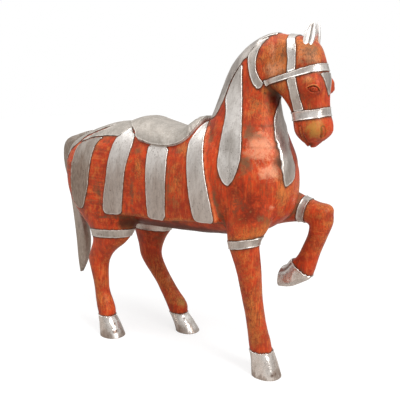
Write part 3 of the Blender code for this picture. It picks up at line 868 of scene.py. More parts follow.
def split(corners, triangles, level):
    """Cuts triangles where the first column of the corners passes the level."""
    gap = corners[:, 0] - level
    gap = np.where(np.abs(gap) < 1e-6, 1e-6, gap)
    above = gap[triangles] > 0
    count = above.sum(axis=1)
    mixed = (count == 1) | (count == 2)
    kept = triangles[~mixed]
    cut = triangles[mixed]
    if not len(cut):
        return corners, triangles
    lone = np.where(count[mixed] == 1, above[mixed].argmax(axis=1), above[mixed].argmin(axis=1))
    rows = np.arange(len(cut))
    a, b, c = (cut[rows, (lone + k) % 3] for k in range(3))
    ends = np.sort(np.concatenate([np.stack([a, b], 1), np.stack([a, c], 1)]), axis=1)
    ends, place = np.unique(ends, axis=0, return_inverse=True)
    first, second = ends.T
    share = (gap[first] / (gap[first] - gap[second]))[:, None]
    made = corners[first] * (1 - share) + corners[second] * share
    place = place.ravel() + len(corners)
    ab = place[:len(cut)]
    ac = place[len(cut):]
    new = [np.stack(three, 1) for three in ((a, ab, ac), (ab, b, c), (ab, c, ac))]
    return np.concatenate([corners, made]), np.concatenate([kept, *new])


def used(corners, triangles):
    """Only the corners that a triangle uses."""
    keep, place = np.unique(triangles, return_inverse=True)
    return corners[keep], place.reshape(-1, 3)


def sheet_height(inside):
    """Height over the wood against the distance in from the edge: a rolled rim, then the flat."""
    rim = RIM * bell(inside - 1.7, 1.25)
    rise = np.clip(inside / 1.2, 0, 1)
    least = 0.25
    return least + (SHEET - least) * rise + rim


def closed_sheet(top, bottom, triangles):
    """Points and triangles of a thin body between two skins with the same triangles."""
    count = len(top)
    ends = sides_of(triangles)
    key = ends[:, 0] * count + ends[:, 1]
    back = ends[:, 1] * count + ends[:, 0]
    rim = ends[~np.isin(key, back)]
    i, j = rim.T
    walls = np.concatenate([np.stack([j, i, i + count], 1), np.stack([j, i + count, j + count], 1)])
    under = triangles[:, ::-1] + count
    return np.concatenate([top, bottom]), np.concatenate([triangles, under, walls])


# Places where the metal is gone or stained: centre and reach in parts, and strength
CHIPS = (
    ((31, -118, 23), (8, 20, 9), 0.66),
    ((22, -120, 50), (4, 20, 22), 0.50),
    ((52, -110, 62), (5, 14, 14), 0.50),
    ((664, -77, 16), (9, 16, 7), 0.62),
    ((47, -135, 559), (4, 16, 4), 0.62),
    ((-160, -100, 590), (5, 24, 12), 0.50),
    ((-150, -118, 640), (4, 20, 5), 0.50),
    ((100, 110, 16), (8, 20, 7), 0.45),
    ((12, -135, 500), (4, 16, 7), 0.50),
    ((622, -100, 80), (14, 24, 6), 0.35),
    ((622, -62, 908), (24, 30, 10), 0.42),
    ((690, -62, 940), (9, 20, 9), 0.40),
    ((666, -62, 975), (9, 20, 30), 0.36),
    ((690, -62, 815), (12, 20, 9), 0.36),
    ((-118, -120, 720), (5, 30, 10), 0.50),
    ((8, -130, 394), (60, 30, 9), 0.32),
    ((600, -120, 436), (16, 30, 6), 0.36),
)


def chips_on(points):
    """How strongly the sheet is chipped or stained, from the strongest of the soft spots."""
    made = np.zeros(len(points))
    for centre, reach, strength in CHIPS:
        made = np.maximum(made, strength * soft_spot(points, centre, reach))
    return made


def metal_sheet(name, field, wood, finish):
    """One hand-cut sheet over the wood, its edges rolled and nearly touching the wood."""
    points, triangles, outward = wood
    ragged = field + HAND_CUT * waves(points, 26, 11)
    if name.startswith("leg_band"):
        ragged = field + 1.1 * waves(points, 24, 11) + 0.7 * waves(points, 9, 12)
    near = ragged[triangles].min(axis=1) < 1
    corners, triangles = used(np.column_stack([ragged, points, outward]), triangles[near])
    for inside in RIM_ROWS:
        corners, triangles = split(corners, triangles, -inside)
    middle = corners[triangles, 0].mean(axis=1)
    corners, triangles = used(corners, triangles[middle < 0])
    edge = -corners[:, 0]
    base = corners[:, 1:4]
    outward = corners[:, 4:7]
    outward = outward / np.linalg.norm(outward, axis=1, keepdims=True)
    dents = 0.35 * waves(base, 21, 17) * np.clip(edge / 5, 0, 1)
    top = base + outward * (sheet_height(edge) + dents)[:, None]
    top[:, 2] = np.maximum(top[:, 2], 0)
    bottom = base - outward * SUNK
    bottom[:, 2] = np.maximum(bottom[:, 2], 0.4)
    made, faces = closed_sheet(top, bottom, triangles)
    return piece(
        name + "_sheet", made, faces, finish, name, "white_metal",
        edge=np.tile(edge, 2), chip=np.tile(chips_on(base), 2),
    )


# The saddle, tail and ears
def between_values(x, xs, ys):
    """Values between given ones on a smooth curve through them."""
    rows = between(np.column_stack([xs, ys]).astype(float), 12)
    order = np.argsort(rows[:, 0])
    return np.interp(x, rows[order, 0], rows[order, 1])


def saddle_piece(finish):
    """A shell over the back: superellipse arches whose lower ends follow the saddle's edge."""
    front = 375.5
    springing = 610
    power = 2.5
    # Along the saddle: x, the height of its middle line and its half width
    xs = (38, 56, 95, 130, 165, 201, 250, 290, 320, 345, 360, 376)
    tops = (790, 797, 809, 816, 809, 799, 787, 783, 795, 813, 820, 819)
    halves = (96, 108, 116, 118, 119, 119, 119, 117, 113, 108, 104, 98)
    u = np.linspace(0, 1, 150)[:, None]
    v = np.linspace(-1, 1, 170)[None, :]
    rear = saddle_rear(np.abs(v) * 125)
    x = rear + (front - rear) * u
    top = between_values(x, xs, tops)
    half = between_values(x, xs, halves)
    edge = rounded(SADDLE_EDGE + ((376, 870), (30, 870)), 1)
    edge = edge[edge[:, 1] < 805]
    edge = edge[np.argsort(edge[:, 0])]
    low = np.minimum(np.interp(x, edge[:, 0], edge[:, 1]), top - 4)
    middle = (springing + top) / 2
    tall = (top - springing) / 2
    reach = np.arccos(np.clip(np.clip((low - middle) / tall, 0, 1) ** (power / 2), 0, 1))
    turn = v * reach
    z = middle + tall * np.abs(np.cos(turn)) ** (2 / power)
    y = -half * np.sign(np.sin(turn)) * np.abs(np.sin(turn)) ** (2 / power)
    grid = np.stack([x, y, z], axis=2)
    # The underside is the same surface, drawn in towards a core
    shrink = 0.86
    core = 640
    inner = np.stack([x, y * shrink, core + (z - core) * shrink], axis=2)
    steps = [np.diff(one, axis=1, prepend=one[:, :1]) for one in (y, z)]
    arc = np.cumsum(np.hypot(*steps), axis=1)
    beside = np.minimum(arc, arc[:, -1:] - arc)
    beside = np.minimum(beside, np.minimum(x - rear, front - x))
    shape = z.shape
    count = shape[0] * shape[1]
    index = np.arange(count).reshape(shape)
    faces = quads(index[:-1, :-1], index[1:, :-1], index[1:, 1:], index[:-1, 1:])
    points = grid.reshape(-1, 3)
    outward = normals_of(points, faces)
    if outward[:, 2].mean() < 0:
        faces = faces[:, ::-1]
        outward = -outward
    edge = beside.reshape(-1)
    pommel = np.clip((points[:, 0] - 338) / 14, 0, 1)
    crinkle = pommel * 1.5 * waves(points * np.array([1.0, 0.45, 1.0]), 13, 23)
    lift = 1.3 * bell(edge - 2.2, 1.6) + crinkle + 0.5 * waves(points, 60, 24)
    top_skin = points + outward * lift[:, None]
    made, faces = closed_sheet(top_skin, inner.reshape(-1, 3), faces)
    values = np.concatenate([edge, np.full(len(edge), NO_RIM)])
    return piece("saddle_metal", made, faces, finish, "saddle", "white_metal", edge=values)


def tail_piece(finish):
    """A sheathed tail: rings along the tail with low lengthwise ridges that fade at its ends."""
    rows = (
        (-158, 741, -158, 752, 14), (-174, 729, -174, 752, 21), (-205, 712, -200, 746, 25),
        (-242, 686, -246, 733, 27), (-264, 666, -294, 716, 28), (-272, 638, -316, 678, 28),
        (-271, 600, -314, 615, 27), (-260, 545, -297, 550, 25), (-236, 440, -280, 436, 24),
        (-214, 360, -271, 355, 25), (-208, 300, -267, 297, 24), (-220, 235, -265, 233, 18),
        (-249, 178, -261, 176, 7),
    )
    stations = [((x0, z0), (x1, z1), half, 2.2, 0) for x0, z0, x1, z1, half in rows]
    around = 96
    grid = loft(stations, around, 14)
    centre = grid.mean(axis=1, keepdims=True)
    along = np.linspace(0, 1, grid.shape[0])[:, None]
    turn = full_turn(around)
    ridges = 0.016 * np.sin(9 * turn + 2.2 * np.sin(7 * along)) + 0.010 * np.sin(15 * turn - 5 * along)
    fade = np.clip(along / 0.3, 0, 1) * np.clip((1 - along) / 0.1, 0, 1)
    grid = centre + (grid - centre) * (1 + ridges * fade)[:, :, None]
    points, faces = tube(grid)
    root = np.append(np.repeat(1 - np.clip(along[:, 0] / 0.17, 0, 1), around), [1.0, 0.0])
    flat = np.full(len(points), NO_RIM)
    return piece("tail_metal", points, faces, finish, "tail", "white_metal", root=root, edge=flat)


def ear_piece(name, side, finish):
    """A leaf-shaped ear, hollowed on its front face."""
    rows = (
        (1004, 726, 9, 8, 37), (1022, 728, 12, 9, 34), (1040, 729, 16, 9, 28), (1058, 731, 17, 9, 24),
        (1075, 733, 14, 7, 21), (1090, 737, 8, 5, 20), (1100, 739, 1.5, 1.5, 20),
    )
    yaw = -35 * side
    stations = [((x - a, z), (x + a, z), b, 2.1, side * y, 0.0, yaw) for z, x, a, b, y in rows]
    around = 64
    grid = loft(stations, around, 10)
    turn = full_turn(around)
    rise = np.linspace(0, 1, grid.shape[0])[:, None]
    facing = np.pi / 2 if side > 0 else 3 * np.pi / 2
    face = bell(turn - facing, 0.55)
    hollow = 0.42 * face * np.clip(rise / 0.2, 0, 1) * np.clip((1 - rise) / 0.25, 0, 1)
    centre = grid.mean(axis=1, keepdims=True)
    grid = centre + (grid - centre) * (1 - hollow)[:, :, None]
    points, faces = tube(grid)
    depth = np.append(hollow.reshape(-1), [0.0, 0.0])
    flat = np.full(len(points), NO_RIM)
    depth = depth if side > 0 else depth * 0.7
    return piece(name + "_metal", points, faces, finish, name, "white_metal", hollow=depth, edge=flat)


# Places of the nails in side view, and the side
NAILS = tuple(
    (x, z, side)
    for side in (-1, 1)
    for x, z in (
        (-140, 618), (-140, 500), (-104, 486), (36, 640), (20, 560), (56, 722), (112, 660),
        (86, 492), (212, 610), (216, 520), (278, 610), (277, 500), (388, 620), (398, 540),
        (446, 610), (470, 500), (384, 760), (695, 1019), (698, 968),
    )
)


def nails_piece(wood, finish):
    """Domed nail heads along the edges of the sheets, each sunk through the sheet into the wood."""
    points, _, outward = wood
    domes = []
    turn = full_turn(8).T
    rises = np.radians([0, 35, 70])
    for x, z, side in NAILS:
        on_side = points[:, 1] * side > 10
        at = np.where(on_side, np.hypot(points[:, 0] - x, points[:, 2] - z), np.inf).argmin()
        normal = outward[at]
        first = np.cross(normal, (0.0, 0.0, 1.0))
        first /= np.linalg.norm(first)
        second = np.cross(normal, first)
        foot = points[at] + normal * SHEET
        circle = np.cos(turn) * first + np.sin(turn) * second
        rings = [
            foot + np.cos(rise) * NAIL_RADIUS * circle + normal * np.sin(rise) * NAIL_HEIGHT
            for rise in rises
        ]
        rings.insert(0, rings[0] - normal * (SHEET + 1))
        domes.append(tube(np.stack(rings)))
    made, faces = joined(domes)
    flat = np.full(len(made), NO_RIM)
    return piece("sheet_nails", made, faces, finish, None, "white_metal", edge=flat)


# Colours of the paint and of what lies on it, with its painted shade and painted sheen
RED_DARK = (0.35, 0.026, 0.008)
RED_BRIGHT = (0.57, 0.048, 0.010)
ORANGE = (0.60, 0.165, 0.032)
BROWN_RED = (0.15, 0.030, 0.014)
STREAK_DARK = (0.17, 0.042, 0.018)
STREAK_LIGHT = (0.62, 0.165, 0.048)
SMUDGE_BROWN = (0.17, 0.060, 0.026)
DEEP_RED_AND_SHADE = (0.14, 0.012, 0.005)
OCHRE = (0.62, 0.205, 0.046)
PALE_PAINT_AND_SHEEN = (0.80, 0.38, 0.225)
DULL_GOLD = (0.44, 0.215, 0.045)
SOIL_AND_SHADE_BROWN = (0.135, 0.070, 0.034)
CRACK_BROWN = (0.09, 0.032, 0.017)
SPECK_BROWN = (0.085, 0.034, 0.018)
SEAM_SHADE = (0.125, 0.038, 0.016)
SEAM_SHADOW_LINE = (0.040, 0.014, 0.009)

# Colours and strengths of what is drawn at kept places on the paint: a painted highlight on the bead, ochre
# lids and nostril wings with painted highlight, dark glue joints, and dark eyes with painted shade
DRAWN = (
    ("bead", (0.74, 0.15, 0.055), 0.75),
    ("lid", (0.60, 0.27, 0.075), 0.75),
    ("joint", (0.10, 0.028, 0.012), 0.8),
    ("black", (0.030, 0.010, 0.006), 0.92),
)

# Colours of the metal and of what lies on it, with a painted highlight for the rims and painted shade at the
# edges
SCRATCH_DARK = (0.26, 0.225, 0.19)
SCRATCH_LIGHT = (0.86, 0.83, 0.79)
FILM_LIGHT = (0.33, 0.232, 0.172)
FILM_DARK = (0.19, 0.114, 0.074)
METAL_SPECK = (0.10, 0.065, 0.045)
CREASE_BROWN = (0.16, 0.12, 0.09)
ROOT_DARK = (0.13, 0.090, 0.068)
ROOT_LIGHT = (0.66, 0.61, 0.56)
EAR_SHADE = (0.12, 0.085, 0.060)
RIM_POLISH_AND_HIGHLIGHT = (0.92, 0.88, 0.83)
EDGE_DIRT_AND_SHADE = (0.10, 0.050, 0.032)
CHIP_BROWN = (0.120, 0.062, 0.038)


# Materials
def tree_of(name):
    made = bpy.data.materials.new(name)
    made.use_nodes = True
    return made, made.node_tree, made.node_tree.nodes["Principled BSDF"]


def add(tree, kind, inputs=(), **settings):
    """A node with these settings; inputs are (socket, value or output socket)."""
    made = tree.nodes.new(kind)
    for key, value in settings.items():
        setattr(made, key, value)
    for socket, value in inputs:
        if isinstance(value, bpy.types.NodeSocket):
            tree.links.new(value, made.inputs[socket])
        else:
            made.inputs[socket].default_value = value
    return made


def math_node(tree, operation, *values, clamp=False):
    made = add(tree, "ShaderNodeMath", tuple(enumerate(values)), operation=operation, use_clamp=clamp)
    return made.outputs[0]


def times(tree, first, second):
    return math_node(tree, "MULTIPLY", first, second)


def plus(tree, first, second, clamp=False):
    return math_node(tree, "ADD", first, second, clamp=clamp)


def minus(tree, first, second):
    return math_node(tree, "SUBTRACT", first, second)


def step(tree, value, low, high):
    """Rises smoothly from 0 to 1 as the value goes from low to high."""
    ends = (("Value", value), ("From Min", low), ("From Max", high))
    return add(tree, "ShaderNodeMapRange", ends, interpolation_type="SMOOTHSTEP").outputs["Result"]


def noise(tree, vector, scale, detail=4.0, rough=0.55, distortion=0.0):
    made = add(tree, "ShaderNodeTexNoise", (
        ("Vector", vector), ("Scale", scale), ("Detail", detail), ("Roughness", rough),
        ("Distortion", distortion),
    ))
    return made.outputs["Fac"]


def mix(tree, share, first, second):
    """The first colour where the share is 0, the second where it is 1."""
    colours = [(*one, 1.0) if isinstance(one, tuple) else one for one in (first, second)]
    made = add(tree, "ShaderNodeMix", data_type="RGBA")
    for socket, value in ((0, share), (6, colours[0]), (7, colours[1])):
        if isinstance(value, bpy.types.NodeSocket):
            tree.links.new(value, made.inputs[socket])
        else:
            made.inputs[socket].default_value = value
    return made.outputs[2]


def place_of(tree, stretch=(1.0, 1.0, 1.0)):
    """The object's own coordinates, stretched."""
    place = add(tree, "ShaderNodeTexCoord").outputs["Object"]
    if stretch == (1.0, 1.0, 1.0):
        return place
    return add(tree, "ShaderNodeMapping", (("Vector", place), ("Scale", stretch))).outputs[0]


def kept(tree, name):
    """A value that the mesh keeps at its corners under this name."""
    return add(tree, "ShaderNodeAttribute", attribute_name=name).outputs["Fac"]


def group(name, inputs, outputs, build):
    """A shader node group: build(tree, inputs by name) gives its outputs in order."""
    tree = bpy.data.node_groups.new(name, "ShaderNodeTree")
    for label, kind in inputs:
        tree.interface.new_socket(label, in_out="INPUT", socket_type=kind)
    for label, kind in outputs:
        tree.interface.new_socket(label, in_out="OUTPUT", socket_type=kind)
    start = tree.nodes.new("NodeGroupInput")
    end = tree.nodes.new("NodeGroupOutput")
    made = build(tree, start.outputs)
    for (label, _), value in zip(outputs, made):
        tree.links.new(value, end.inputs[label])
    return tree


def use(tree, shared, **inputs):
    made = tree.nodes.new("ShaderNodeGroup")
    made.node_tree = shared
    for key, value in inputs.items():
        socket = made.inputs[key]
        if isinstance(value, bpy.types.NodeSocket):
            tree.links.new(value, socket)
        else:
            socket.default_value = value
    return made.outputs


FLOAT = "NodeSocketFloat"
VECTOR = "NodeSocketVector"


def build_patches(tree, inputs):
    """Breaks a soft mask into ragged patches: its value plus noise, past a threshold."""
    rough = noise(tree, inputs["Place"], 30.0, 9.0, 0.72, 0.6)
    broken = noise(tree, inputs["Place"], 120.0, 6.0, 0.75, 0.3)
    total = plus(tree, inputs["Mask"], times(tree, rough, 1.2))
    total = plus(tree, total, times(tree, broken, 0.8))
    return [step(tree, total, 1.18, 1.62)]


def build_specks(tree, inputs):
    """Small scattered marks: cells of a fine noise above a threshold that a coarse noise moves."""
    fine = noise(tree, inputs["Place"], 210.0, 3.0, 0.6)
    coarse = noise(tree, inputs["Place"], 22.0, 3.0, 0.6)
    total = plus(tree, fine, times(tree, coarse, 0.5))
    return [step(tree, total, 0.89, 1.00)]


def build_streaks(tree, inputs):
    """Long thin marks: noise drawn out along x, and along z where the mask says upright."""
    stretches = ((11.0, 60.0, 130.0), (130.0, 130.0, 11.0))
    places = [
        add(tree, "ShaderNodeMapping", (("Vector", inputs["Place"]), ("Scale", stretch)))
        for stretch in stretches
    ]
    level, tall = (noise(tree, place.outputs[0], 1.0, 6.0, 0.66) for place in places)
    keep = times(tree, level, minus(tree, 1.0, inputs["Upright"]))
    return [plus(tree, keep, times(tree, tall, inputs["Upright"]))]


def build_hammered(tree, inputs):
    """Shallow dents and creases of thin metal pressed over wood."""
    dents = noise(tree, inputs["Place"], 34.0, 3.0, 0.5)
    folds = noise(tree, inputs["Place"], 48.0, 6.0, 0.6, 1.2)
    ridge = math_node(tree, "ABSOLUTE", minus(tree, folds, 0.5))
    height = plus(tree, times(tree, dents, 1.4), times(tree, ridge, 0.8))
    return [height, step(tree, ridge, 0.022, 0.0)]


PATCHES = group("ragged_patches", (("Place", VECTOR), ("Mask", FLOAT)), (("Patch", FLOAT),), build_patches)
SPECKS = group("fine_specks", (("Place", VECTOR),), (("Specks", FLOAT),), build_specks)
STREAKS = group("long_streaks", (("Place", VECTOR), ("Upright", FLOAT)), (("Streaks", FLOAT),), build_streaks)
HAMMERED = group(
    "pressed_metal", (("Place", VECTOR),), (("Height", FLOAT), ("Crease", FLOAT)), build_hammered,
)


def patch(tree, place, mask):
    """The mask broken into ragged patches."""
    return use(tree, PATCHES, Place=place, Mask=mask)["Patch"]


def veil(tree, share, base, colour, strength):
    """The base with a colour laid over it where the share is high."""
    return mix(tree, times(tree, share, strength), base, colour)


def red_painted_wood():
    """Old red-orange paint, worn to ochre on edges, brown with stains and painted shade in the hollows and
    beside each sheet, with painted sheen in places.
    """
    made, tree, shader = tree_of("red_painted_wood")
    place = place_of(tree)
    upright = kept(tree, "upright")
    tone = noise(tree, place, 19.0, 10.0, 0.70, 0.3)
    second = noise(tree, place_of(tree, (1.0, 1.0, 0.6)), 62.0, 8.0, 0.70)
    fine = noise(tree, place, 210.0, 5.0, 0.62)
    streaks = use(tree, STREAKS, Place=place, Upright=upright)["Streaks"]
    specks = use(tree, SPECKS, Place=place)["Specks"]
    paint = mix(tree, step(tree, tone, 0.38, 0.60), RED_DARK, RED_BRIGHT)
    calm = minus(tree, 1.0, times(tree, upright, 0.6))
    light = times(tree, step(tree, second, 0.50, 0.63), calm)
    dark = times(tree, step(tree, second, 0.47, 0.36), calm)
    paint = veil(tree, light, paint, ORANGE, 0.62)
    paint = veil(tree, dark, paint, BROWN_RED, 0.76)
    paint = veil(tree, step(tree, streaks, 0.53, 0.64), paint, STREAK_DARK, 0.60)
    paint = veil(tree, step(tree, streaks, 0.46, 0.36), paint, STREAK_LIGHT, 0.45)
    smudge = noise(tree, place_of(tree, (0.5, 1.0, 1.0)), 24.0, 8.0, 0.72, 0.5)
    smudge = times(tree, step(tree, smudge, 0.53, 0.68), calm)
    paint = veil(tree, smudge, paint, SMUDGE_BROWN, 0.72)
    # Dark red patches: darker paint, and painted shade under the jaw, between the forelegs and under the
    # cloth.
    paint = veil(tree, patch(tree, place, kept(tree, "deep_red_and_shade")), paint, DEEP_RED_AND_SHADE, 0.88)
    worn = plus(tree, kept(tree, "worn"), times(tree, kept(tree, "convex"), 0.4))
    ochre = patch(tree, place, worn)
    paint = veil(tree, ochre, paint, OCHRE, 0.68)
    # Painted sheen: pale pink on the neck, chest and face, partly paler paint.
    paint = veil(tree, patch(tree, place, kept(tree, "pale")), paint, PALE_PAINT_AND_SHEEN, 0.62)
    paint = veil(tree, patch(tree, place, kept(tree, "gold")), paint, DULL_GOLD, 0.85)
    # Brown patches: stains, and painted shade in the hollows of the carving and along the cloth's lower edge.
    dirt_and_hollow_shade = plus(tree, kept(tree, "grime_and_shade"), times(tree, kept(tree, "hollow"), 0.5))
    brown = patch(tree, place, dirt_and_hollow_shade)
    paint = veil(tree, brown, paint, SOIL_AND_SHADE_BROWN, 0.8)
    cracks = math_node(tree, "ABSOLUTE", minus(tree, streaks, 0.5))
    cracks = times(tree, step(tree, cracks, 0.026, 0.006), step(tree, worn, 0.1, 0.4))
    paint = veil(tree, cracks, paint, CRACK_BROWN, 0.8)
    paint = veil(tree, specks, paint, SPECK_BROWN, 0.6)
    # Painted shade along the edge of every sheet: a brown band and a dark line, partly soiling.
    beside = plus(tree, kept(tree, "seam"), times(tree, second, 9.0))
    paint = veil(tree, step(tree, beside, 13.0, 4.5), paint, SEAM_SHADE, 0.78)
    paint = veil(tree, step(tree, beside, 7.0, 4.8), paint, SEAM_SHADOW_LINE, 0.85)
    for name, colour, strength in DRAWN:
        paint = veil(tree, kept(tree, name), paint, colour, strength)
    tree.links.new(paint, shader.inputs["Base Color"])
    rough = plus(tree, 0.28, times(tree, second, 0.26))
    rough = plus(tree, rough, times(tree, brown, 0.2), clamp=True)
    tree.links.new(rough, shader.inputs["Roughness"])
    shader.inputs["Specular IOR Level"].default_value = 0.5
    shader.inputs["Specular Tint"].default_value = (1.0, 0.62, 0.40, 1.0)
    relief = plus(tree, times(tree, fine, 0.30), times(tree, streaks, 0.7))
    relief = plus(tree, relief, times(tree, second, 0.9))
    relief = minus(tree, relief, times(tree, ochre, 0.2))
    bump = add(tree, "ShaderNodeBump", (("Strength", 0.55), ("Distance", 0.0018), ("Height", relief)))
    tree.links.new(bump.outputs[0], shader.inputs["Normal"])
    return made


def white_metal(
    name, tones, wear, low=None, root=False, dents=0.3, rough=0.32, metallic=0.9, streak=0.34, inside=False,
):
    """Thin white metal between two tones: rolled rims with a painted highlight, partly rubbed metal, a dark
    line at the edge, partly painted shade, brown film on dull parts, fine scratches.

    low is the height in metres where the brown is full, the height where it starts, and its strength: the
    metal turns darker brown towards the bottom.
    """
    made, tree, shader = tree_of(name)
    place = place_of(tree)
    along = place_of(tree, (1.0, 1.0, 0.28))
    tone = noise(tree, along, 26.0, 8.0, 0.66)
    fine = noise(tree, place, 190.0, 5.0, 0.6)
    specks = use(tree, SPECKS, Place=place)["Specks"]
    pressed = use(tree, HAMMERED, Place=place)
    scratches = noise(tree, along, 170.0, 5.0, 0.66)
    metal = mix(tree, step(tree, tone, 0.34, 0.66), tones[0], tones[1])
    metal = veil(tree, step(tree, scratches, 0.53, 0.68), metal, SCRATCH_DARK, streak)
    metal = veil(tree, step(tree, scratches, 0.46, 0.34), metal, SCRATCH_LIGHT, 0.26)
    dull = plus(tree, noise(tree, along, 52.0, 8.0, 0.72), wear)
    dull = step(tree, dull, 0.44, 0.84)
    # Darker brown towards the bottom of the piece.
    if low:
        full, start, strength = low
        height = add(tree, "ShaderNodeSeparateXYZ", (("Vector", place),)).outputs["Z"]
        waver = plus(tree, height, times(tree, tone, 0.16))
        fall = times(tree, step(tree, waver, start + 0.08, full + 0.08), strength)
        dull = math_node(tree, "MAXIMUM", dull, fall)
    film = mix(tree, step(tree, scratches, 0.42, 0.60), FILM_LIGHT, FILM_DARK)
    metal = veil(tree, dull, metal, film, 0.82)
    metal = veil(tree, specks, metal, METAL_SPECK, 0.55)
    metal = veil(tree, pressed["Crease"], metal, CREASE_BROWN, 0.14)
    if root:
        salt = step(tree, noise(tree, place, 170.0, 3.0, 0.6), 0.45, 0.55)
        speckled = mix(tree, salt, ROOT_DARK, ROOT_LIGHT)
        metal = mix(tree, step(tree, kept(tree, "root"), 0.1, 0.5), metal, speckled)
    if inside:
        shadow = step(tree, kept(tree, "hollow"), 0.10, 0.34)
        metal = veil(tree, shadow, metal, EAR_SHADE, 0.85)
    edge = kept(tree, "edge")
    # Painted highlight along the rolled rims, partly rubbed metal.
    worn = step(tree, noise(tree, place, 60.0, 5.0, 0.66), 0.38, 0.58)
    bright = times(tree, step(tree, edge, 4.2, 2.4), step(tree, edge, 0.3, 1.0))
    metal = veil(tree, times(tree, bright, worn), metal, RIM_POLISH_AND_HIGHLIGHT, 0.6)
    # A dark line at each sheet's very edge: soiling, and painted shade where the edge meets the wood.
    line = times(tree, step(tree, edge, 0.7, 0.15), minus(tree, 1.2, worn))
    metal = veil(tree, line, metal, EDGE_DIRT_AND_SHADE, 0.8)
    metal = veil(tree, patch(tree, place, kept(tree, "chip")), metal, CHIP_BROWN, 0.9)
    tree.links.new(metal, shader.inputs["Base Color"])
    shader.inputs["Metallic"].default_value = metallic
    shine = plus(tree, rough, times(tree, dull, 0.22))
    shine = plus(tree, shine, times(tree, fine, 0.12), clamp=True)
    tree.links.new(shine, shader.inputs["Roughness"])
    relief = plus(tree, times(tree, pressed["Height"], dents), times(tree, fine, 0.06))
    relief = plus(tree, relief, times(tree, scratches, 0.07))
    bump = add(tree, "ShaderNodeBump", (("Strength", 0.5), ("Distance", 0.002), ("Height", relief)))
    tree.links.new(bump.outputs[0], shader.inputs["Normal"])
    return made


def pale_floor():
    """A white floor that shows only faint shadows to the camera and throws little light back up."""
    made, tree, shader = tree_of("pale_floor")
    place = place_of(tree)
    tone = noise(tree, place, 3.0, 3.0, 0.5)
    tree.links.new(mix(tree, tone, (0.46, 0.42, 0.39), (0.50, 0.46, 0.43)), shader.inputs["Base Color"])
    shader.inputs["Roughness"].default_value = 0.9
    shader.inputs["Specular IOR Level"].default_value = 0.0
    glow = add(tree, "ShaderNodeEmission", (("Color", (1, 1, 1, 1)), ("Strength", 1.05)))
    pale = add(tree, "ShaderNodeBsdfDiffuse", (("Color", (0.98, 0.98, 0.98, 1)),))
    seen = add(tree, "ShaderNodeMixShader", ((0, 0.36), (1, glow.outputs[0]), (2, pale.outputs[0])))
    ray = add(tree, "ShaderNodeLightPath").outputs["Is Camera Ray"]
    both = add(tree, "ShaderNodeMixShader", ((0, ray), (1, shader.outputs[0]), (2, seen.outputs[0])))
    tree.links.new(both.outputs[0], tree.nodes["Material Output"].inputs["Surface"])
    return made
